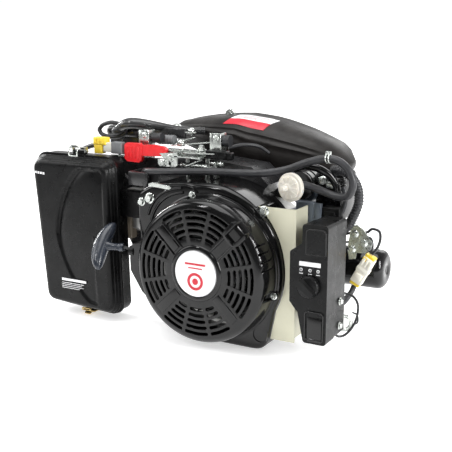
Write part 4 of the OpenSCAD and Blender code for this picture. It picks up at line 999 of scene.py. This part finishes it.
screws = Shape("bright_zinc", 0.3)
for z in (98, 58):
    screws.lathe([(0, 0), (6.2, 0), (6.2, 0.8), (4.6, 1.2), (4.6, 3.4), (3.4, 4.6), (1.2, 4.8), (0, 4)],
                 (BOX_X + BOX_W / 2, -134, z), RIGHT, 32)
screws.piece("box_screws")


# ---------- control linkage over the shroud ----------

# Height of the control plate, with the places over it given from there
DECK = 304
ON_DECK = place((0, 0, DECK))
LEVER_X, LEVER_Y = -64, -84
plate = Shape("bright_zinc", 0.5)
for pts, y0, y1, w in (
        ([(-104, 0), (-44, 0), (-44, 2), (-104, 2)], -122, -60, 0.5),
        ([(-106, 2), (-104, 2), (-104, -14), (-106, -14)], -124, -122, 0.3),
        ([(-128, -5), (-106, -5), (-104, -8), (-104, -17), (-124, -17), (-128, -13)], -124, -122, 0.5)):
    plate.plate(pts, y0, y1, at=ON_DECK, w=w)
for lo, hi, w in (((-178, -94, 4), (-104, -78, 6), 0.5), ((-106, -122, 0), (-104, -60, 6), 0.3),
                  ((-46, -94, 2), (-22, -78, 5), 0.5), ((-100, -78, -42), (-92, -62, 0), 0.6),
                  ((-60, -78, -42), (-52, -62, 0), 0.6)):
    plate.box(lo, hi, at=ON_DECK, w=w)
plate.bolt((-117, -124, DECK - 11), FRONT, 5.2, 5, 1.6)
plate.rod((LEVER_X, LEVER_Y, DECK - 2), (LEVER_X, LEVER_Y, DECK + 16), 3)
plate.lathe([(0, 12), (6, 12), (6, 13.4), (5, 14), (5, 18), (3.4, 19), (0, 19)], (LEVER_X, LEVER_Y, DECK),
            UP, 6)
plate.piece("control_plate", replaces=["control_bracket"])

choke = Shape("red_plastic", 1.2)
choke.plate([(-210, 13), (-206, 17), (-178, 17), (-174, 12), (-174, -12), (-179, -17), (-205, -16),
             (-210, -11)], -108, -99, at=ON_DECK, w=2.6, segments=4)
choke.plate([(-180, 14), (-150, 16), (-128, 14), (-122, 9), (-122, 2), (-130, -3), (-180, -5)], -106, -98,
            at=ON_DECK, w=2.2, segments=3)
for k in range(4):
    choke.rod((-203 + 7.6 * k, -108.4, 11), (-203 + 7.6 * k, -108.4, -10), 1.2, n=12, at=ON_DECK)
choke.piece("choke_paddle", "choke", smooth=50)
arm = Shape("bright_zinc", 0.4)
arm.plate([(-130, 8), (LEVER_X, 8), (LEVER_X, 10), (-130, 10)], -102, LEVER_Y, at=ON_DECK)
arm.lathe([(3.1, 2.6), (9, 2.6), (9, 10.8), (8.4, 11.4), (3.1, 11.4)], (LEVER_X, LEVER_Y, DECK), UP, 40)
arm.piece("choke_arm", "choke", ["choke_lever"])

gov = Shape("bright_zinc", 0.4)
GOV_Y, GOV_Z = -108, DECK - 8
gov.box((-22, GOV_Y - 8, GOV_Z - 24), (-18, GOV_Y + 8, GOV_Z + 4), w=0.6)
gov.rod((-31, GOV_Y, GOV_Z), (-12, GOV_Y, GOV_Z), 2.5)
gov.bolt((-12, GOV_Y, GOV_Z), RIGHT, 4, 4, 1.2)
gov.piece("governor_lever", "governor", ["governor_arm"])
spring = Shape("bright_zinc", 0)
COIL_Y, COIL_Z, COIL_R = -110, DECK - 14, 3.6
coil = [(-90 + 54 * i / 220, COIL_Y + COIL_R * math.cos(i * math.pi / 5),
         COIL_Z + COIL_R * math.sin(i * math.pi / 5)) for i in range(221)]
coil = [(x, COIL_Y, COIL_Z) for x in (-98, -92)] + coil + [(x, COIL_Y, COIL_Z) for x in (-34, -24)]
spring.tube(coil, 0.8, 8, 1)
spring.piece("governor_coil", replaces=["governor_spring"])


# ---------- brackets, boots and cables over the carburettor ----------

cowl = Shape("black_paint", 1.2)
# Sheet duct that leads the fan's air over the cylinder, and its side toward the air cleaner
cowl.plate([(-200, 236), (-186, 272), (-150, 292), (-60, 298), (30, 290), (62, 262), (40, 240), (-100, 236)],
           -77, -8, w=5, segments=3)
cowl.plate([(-262, 292), (-150, 292), (-140, 120), (-176, 96), (-214, 110), (-262, 200)], -74, -68, w=2)
cowl.box((-296, -50, 322), (-222, -22, 343), w=9, segments=4)
# The second box below is a dark filler sheet behind the cables and plugs at the upper left. It is painted
# shade that fills the gaps between them, not a part.
for lo, hi, w in (((-196, -44, 326), (-122, -38, 344), 2), ((-292, -40, 288), (-196, -34, 330), 2),
                  ((-186, -134, 250), (-144, -128, 275), 2.5), ((-186, -132, 258), (-180, -80, 275), 1.5)):
    cowl.box(lo, hi, w=w)
cowl.rod((-149, -136, 256), (-149, -133, 256), 5)
# Hood that runs up to the silencer
cowl.tube([(-268, -56, 332), (-252, -58, 342), (-232, -60, 350), (-205, -52, 349), (-172, -36, 344),
           (-140, -14, 338), (-112, 8, 336)],
          lambda t: 9 + 5 * math.sin(math.pi * min(1, t * 1.4)), 20, 5, flat=0.75)
cowl.piece("cylinder_cowl_and_shade_fill")

cables = Shape("rubber_black", 1.5)
for route, r, n in (
        ([(-302, -60, 336), (-292, -60, 345), (-272, -60, 350), (-252, -58, 346), (-243, -57, 336),
          (-254, -58, 326), (-274, -60, 323), (-294, -61, 327), (-302, -60, 336)], 4, 14),
        ([(-277, -101, 313), (-296, -98, 308), (-314, -95, 301), (-328, -93, 290), (-334, -93, 274),
          (-332, -100, 258)], 4.6, 14),
        ([(-238, -70, 322), (-246, -70, 303), (-249, -70, 284), (-240, -72, 262), (-222, -78, 250)], 2.2, 12),
        ([(-224, -98, 306), (-200, -88, 310), (-176, -72, 306), (-150, -56, 300), (-120, -50, 300)], 3, 12),
        ([(-24, -60, 318), (-4, -40, 322), (14, -20, 318), (30, -10, 306)], 3.2, 12)):
    cables.tube(route, r, n, 5)
cables.lathe([(0, 0), (5, 0.5), (8, 4), (8.6, 10), (7.6, 17), (4.6, 21), (4, 26), (0, 26)], (-268, -62, 334),
             (0.96, 0, 0.2), 28)
cables.rod((-168, -78, 329), (-148, -78, 330), 9)
cables.rod((-22, -78, 332), (-10, -78, 332), 10)
cables.piece("upper_cables")

blocks = Shape("yellow_plastic", 1.0)
for lo, hi, mat, w in (
        ((-277, -112, 314), (-249, -97, 328), "yellow_plastic", 1.8),
        ((-276, -111, 298), (-258, -98, 315), "yellow_plastic", 1.4),
        ((-256, -110, 302), (-236, -98, 319), "cream_connector", 1.4),
        ((-238, -111, 300), (-215, -97, 321), "grey_plastic", 2),
        # Tan insulator between the air cleaner and the cylinder
        ((-215, -102, 144), (-203, -84, 190), "kraft_sleeve", 2.4)):
    blocks.box(lo, hi, mat=mat, w=w, segments=3)
for k in range(3):
    blocks.box((-274 + 8 * k, -113.4, 316), (-270 + 8 * k, -111, 326), w=0.6)
# Ribbed guide for the throttle cable
blocks.rod((-166, -64, 325), (-131, -64, 326), 8, mat="grey_plastic", w=1)
for k in range(6):
    blocks.torus((-162 + 5.6 * k, -64, 325 + 0.16 * k), RIGHT, 7.9, 1, 32, 8, mat="grey_plastic")
blocks.piece("cable_plugs", slot="cream_connector")

stop = Shape("black_plastic", 1.2)
for lo, hi in (((-44, -106, 303), (-6, -86, 317)), ((-12, -102, 302), (4, -90, 315))):
    stop.box(lo, hi, w=2, segments=3)
for x in (-36, -22):
    stop.rod((x, -108.4, 310), (x, -105, 310), 3, w=0.6)
stop.piece("throttle_stop")

metal = Shape("bright_zinc", 0.5)
# Two upright tabs with their folded sides
for x, low, high in ((-182, 312, 343), (-35, 306, 345)):
    metal.box((x - 10, -88.5, low), (x + 11, -86.5, high), w=0.8)
    metal.box((x + 9.5, -88, low), (x + 11.5, -68, high), w=0.8)
    metal.box((x - 10, -88, low), (x + 11, -70, low + 2), w=0.5)
    metal.bolt((x + 2, -88.5, high - 9), FRONT, 4.2, 4.2, 1.2)
# Lever plates over the deck
metal.plate([(-112, 309.6), (-24, 311.4), (-24, 313), (-112, 311.2)], -110, -92, w=0.5)
metal.plate([(-128, 317), (-96, 321), (-48, 327), (-48, 328.6), (-96, 322.6), (-128, 318.6)], -82, -72, w=0.5)
metal.lathe([(0, 0), (7, 0), (7.4, 6), (6, 10), (3, 12), (0, 12.4)], (-121, -60, 315), UP, 32)
metal.rod((-126, -42, 337), (-100, -42, 338), 1.6)
metal.tube([(-122, -50, 324), (-108, -50, 327), (-98, -48, 331)], lambda t: 4.4 - 2.6 * t, 12, 4, flat=0.5)
# Ear with a hexagon screw
metal.plate([(-126, 309), (-90, 312), (-90, 290), (-95, 286), (-104, 286), (-114, 296)], -122, -119.6, w=0.7)
metal.bolt((-103, -122, 302), FRONT, 5.4, 6, 1.6)
# Rods
metal.rod((-244, -102, 296), (-150, -102, 298.5), 1.3, w=0.3)
metal.rod((-92, -113, 304), (-48, -110, 301.4), 1.2, w=0.3)
metal.tube([(-78, -116, 288), (-68, -115, 292), (-58, -114, 297), (-48, -110, 301)], 1.4, 10, 4)
# Bolts and a ball stud along the silencer's near end
metal.bolt((-187, -24, 341), (0, -0.3, 1), 5.5, 8, 1.6)
metal.lathe([(0, 0), (10, 0), (10, 2.4), (8.4, 5), (5, 7.4), (0, 8.2)], (-158, -16, 341), (0.1, -0.5, 1), 36)
metal.lathe([(3, 0), (3, 4), (5.8, 6), (6.6, 9.4), (5.6, 13), (3, 15), (0, 15.4)], (-125, -12, 330),
            (0, -0.7, 1), 28)
# Lever with a hole, low on the shroud's top left
metal.plate([(-118, 263), (-110, 266), (-78, 262.5), (-73, 259.5), (-77, 256.5), (-112, 259), (-118, 260)],
            -169, -167, w=0.6)
metal.rod((-79, -170.4, 259.6), (-79, -166, 259.6), 2.6)
metal.rod((-110, -168, 262), (-110, -152, 262), 3)
metal.piece("upper_fittings")


# ---------- oil filter, wiring and brackets on the right ----------

low, high = (V(*corner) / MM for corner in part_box("oil_filter"))
can = Shape("gloss_plastic")
can.lathe([(0, 96), (23, 96), (23, 146), (36, 146), (36, 151), (34.6, 152.4), (33, 153), (33.4, 156),
           (34, 160), (34, 200), (34.4, 201), (34.4, 203), (34, 204)]
          + [(20 + 14 * math.cos(a), 228 + 14 * math.sin(a)) for a in map(math.radians, range(0, 91, 10))]
          + [(9, 242), (7, 240.5), (0, 240.5)], (0, (low.y + high.y) / 2, (low.z + high.z) / 2), RIGHT, 96)
can.piece("oil_filter_can", slot="black_paint", replaces=["oil_filter"])

loom = Shape("rubber_black", 0.3)
for route, r, n in (
        ([(207, -44, 99), (204, -50, 88), (199, -68, 76), (192, -92, 70), (190, -109.5, 68)], 4.6, 14),
        ([(203, -50, 90), (198, -66, 82), (190, -88, 84), (188, -109, 82)], 2.4, 12),
        ([(236.5, -44, 156), (244, -42, 168), (247, -38, 182), (244, -36, 194), (232, -36, 197),
          (222, -36, 190), (196, -32, 186), (166, -34, 178), (140, -40, 184)], 2.3, 12),
        ([(233, -44, 157), (236, -42, 170), (230, -38, 182), (214, -36, 180), (190, -34, 170),
          (160, -36, 166)], 1.8, 10),
        ([(204, -124, 40.5), (208, -114, 32), (216, -106, 33), (225, -100, 44), (231, -94, 60),
          (230, -86, 80), (220, -82, 92), (208, -84, 96), (198, -98, 100), (196, -109.5, 100)], 2.0, 12),
        ([(224, -96, 70), (232, -94, 66), (233, -94, 54), (226, -96, 50), (222, -98, 56)], 1.3, 10),
        ([(196, -78, 270), (200, -80, 246), (192, -80, 224), (176, -80, 210), (160, -78, 204)], 4, 14)):
    loom.tube(route, r, n)
# Corrugated conduit that comes down from the silencer's end
conduit = [(170, -58, 292), (190, -66, 294), (208, -70, 284), (218, -70, 266), (219, -70, 244),
           (211, -70, 222), (200, -66, 204), (184, -56, 192)]
loom.tube(conduit, 7, 18)
for p, s, t in frames(smooth_path(conduit, 5)):
    loom.torus(p, s.cross(t), 7, 1.1, 24, 8)
loom.box((166, -98, 212), (198, -74, 238), mat="black_plastic", w=2.4, segments=3)
loom.box((172, -100, 218), (190, -97, 232), mat="black_plastic", w=1)
loom.piece("wiring_harness", replaces=["wiring_loom"])

plug = Shape("cream_connector", 0.6)
PLUG_AT = place((222, -44, 128), (28, "Y"))
plug.box((-10, -7.4, -25), (10, 7.4, 25), at=PLUG_AT, w=1.6, segments=3)
for lo, hi, w, mat in (
        ((-11, -8, -3), (11, 8, 5), 1, None), ((-6, -9.6, -18), (6, -7, -7), 0.9, None),
        ((-9, -6.4, 24), (9, 6.4, 29.5), 0.9, "yellow_plastic"),
        ((-9.6, -8, 17), (-2, -7, 24), 0.9, "yellow_plastic"),
        ((-8.6, -6.4, -30), (8.6, 6.4, -24.5), 0.9, "yellow_plastic")):
    plug.box(lo, hi, at=PLUG_AT, w=w, mat=mat)
for x in (-6.2, 0, 6.2):
    plug.box((x - 2.2, -8.6, 8), (x + 2.2, -7, 22), at=PLUG_AT, w=0.5)
plug.piece("harness_plug", replaces=["wire_connectors"])

side = Shape("bright_zinc", 0.5)
side.plate([(205, 204), (216, 207), (226, 200), (242, 180), (240, 170), (230, 161), (206, 160), (200, 170)],
           -62, -60, w=0.7)
side.plate([(200, 164), (206, 160), (216, 161), (214, 150), (203, 148)], -62, -60, w=0.6)
for x, z in ((212, 192), (228, 178), (208, 166)):
    side.bolt((x, -62, z), FRONT, 4.6, 5, 1.4)
side.box((202, -62, 196), (204, -30, 204), w=0.5)
for y, big, small in ((-102, 12, 2.2), (-102.6, 9.6, 1.6)):
    side.torus((213, y, 52), (0.45, -1, 0.1), big, small, 48, 8 if small < 2 else 10)
# Clip on the fuel hose
for x, y in ((176, -102), (181, -102.4)):
    side.torus((x, y, 317.4), (1, 0, 0.05), 7.0, 1.1, 40, 8)
    side.box((x - 1.6, -106, 323), (x + 1.6, -100, 329))
side.piece("side_fittings")

relay = Shape("blue_grey_paint", 0.8)
relay.box((124, -104, 206), (156, -92, 246), w=2.4, segments=3)
relay.box((152, -103, 210), (168, -94, 244), w=1.6)
relay.piece("relay_case")

# Solenoid, its terminals and the hoses that fill the space under the silencer
solenoid = Shape("gloss_plastic", 1.2)
solenoid.box((132, -44, 206), (184, 16, 286), w=7, segments=4)
solenoid.rod((118, -76, 266), (118, -10, 266), 23, n=48, w=3)
for y in (-70, -52, -34):
    solenoid.torus((118, y, 266), BACK, 23, 1.3, 56, 8)
for route, r, n in (
        ([(104, -70, 292), (128, -84, 300), (158, -82, 296), (178, -72, 276), (184, -64, 240),
          (182, -62, 204)], 6.2, 18),
        ([(96, -60, 250), (120, -80, 240), (150, -78, 232), (166, -66, 212), (168, -62, 196)], 4.6, 16)):
    solenoid.tube(route, r, n)
for k in range(9):
    solenoid.torus((184.5 - 0.02 * k, -60, 278 - 8 * k), UP, 7.6, 1.5, 32, 8)
solenoid.box((152, -50, 238), (176, -42, 262), w=1.4)
solenoid.rod((150, -48, 274), (150, -58, 274), 7, n=24, mat="bright_zinc", w=1.2)
solenoid.bolt((150, -58, 274), FRONT, 5, 4, 1.6, mat="bright_zinc")
solenoid.box((156, -56, 262), (176, -50, 272), mat="bright_zinc", w=0.8)
solenoid.piece("solenoid")
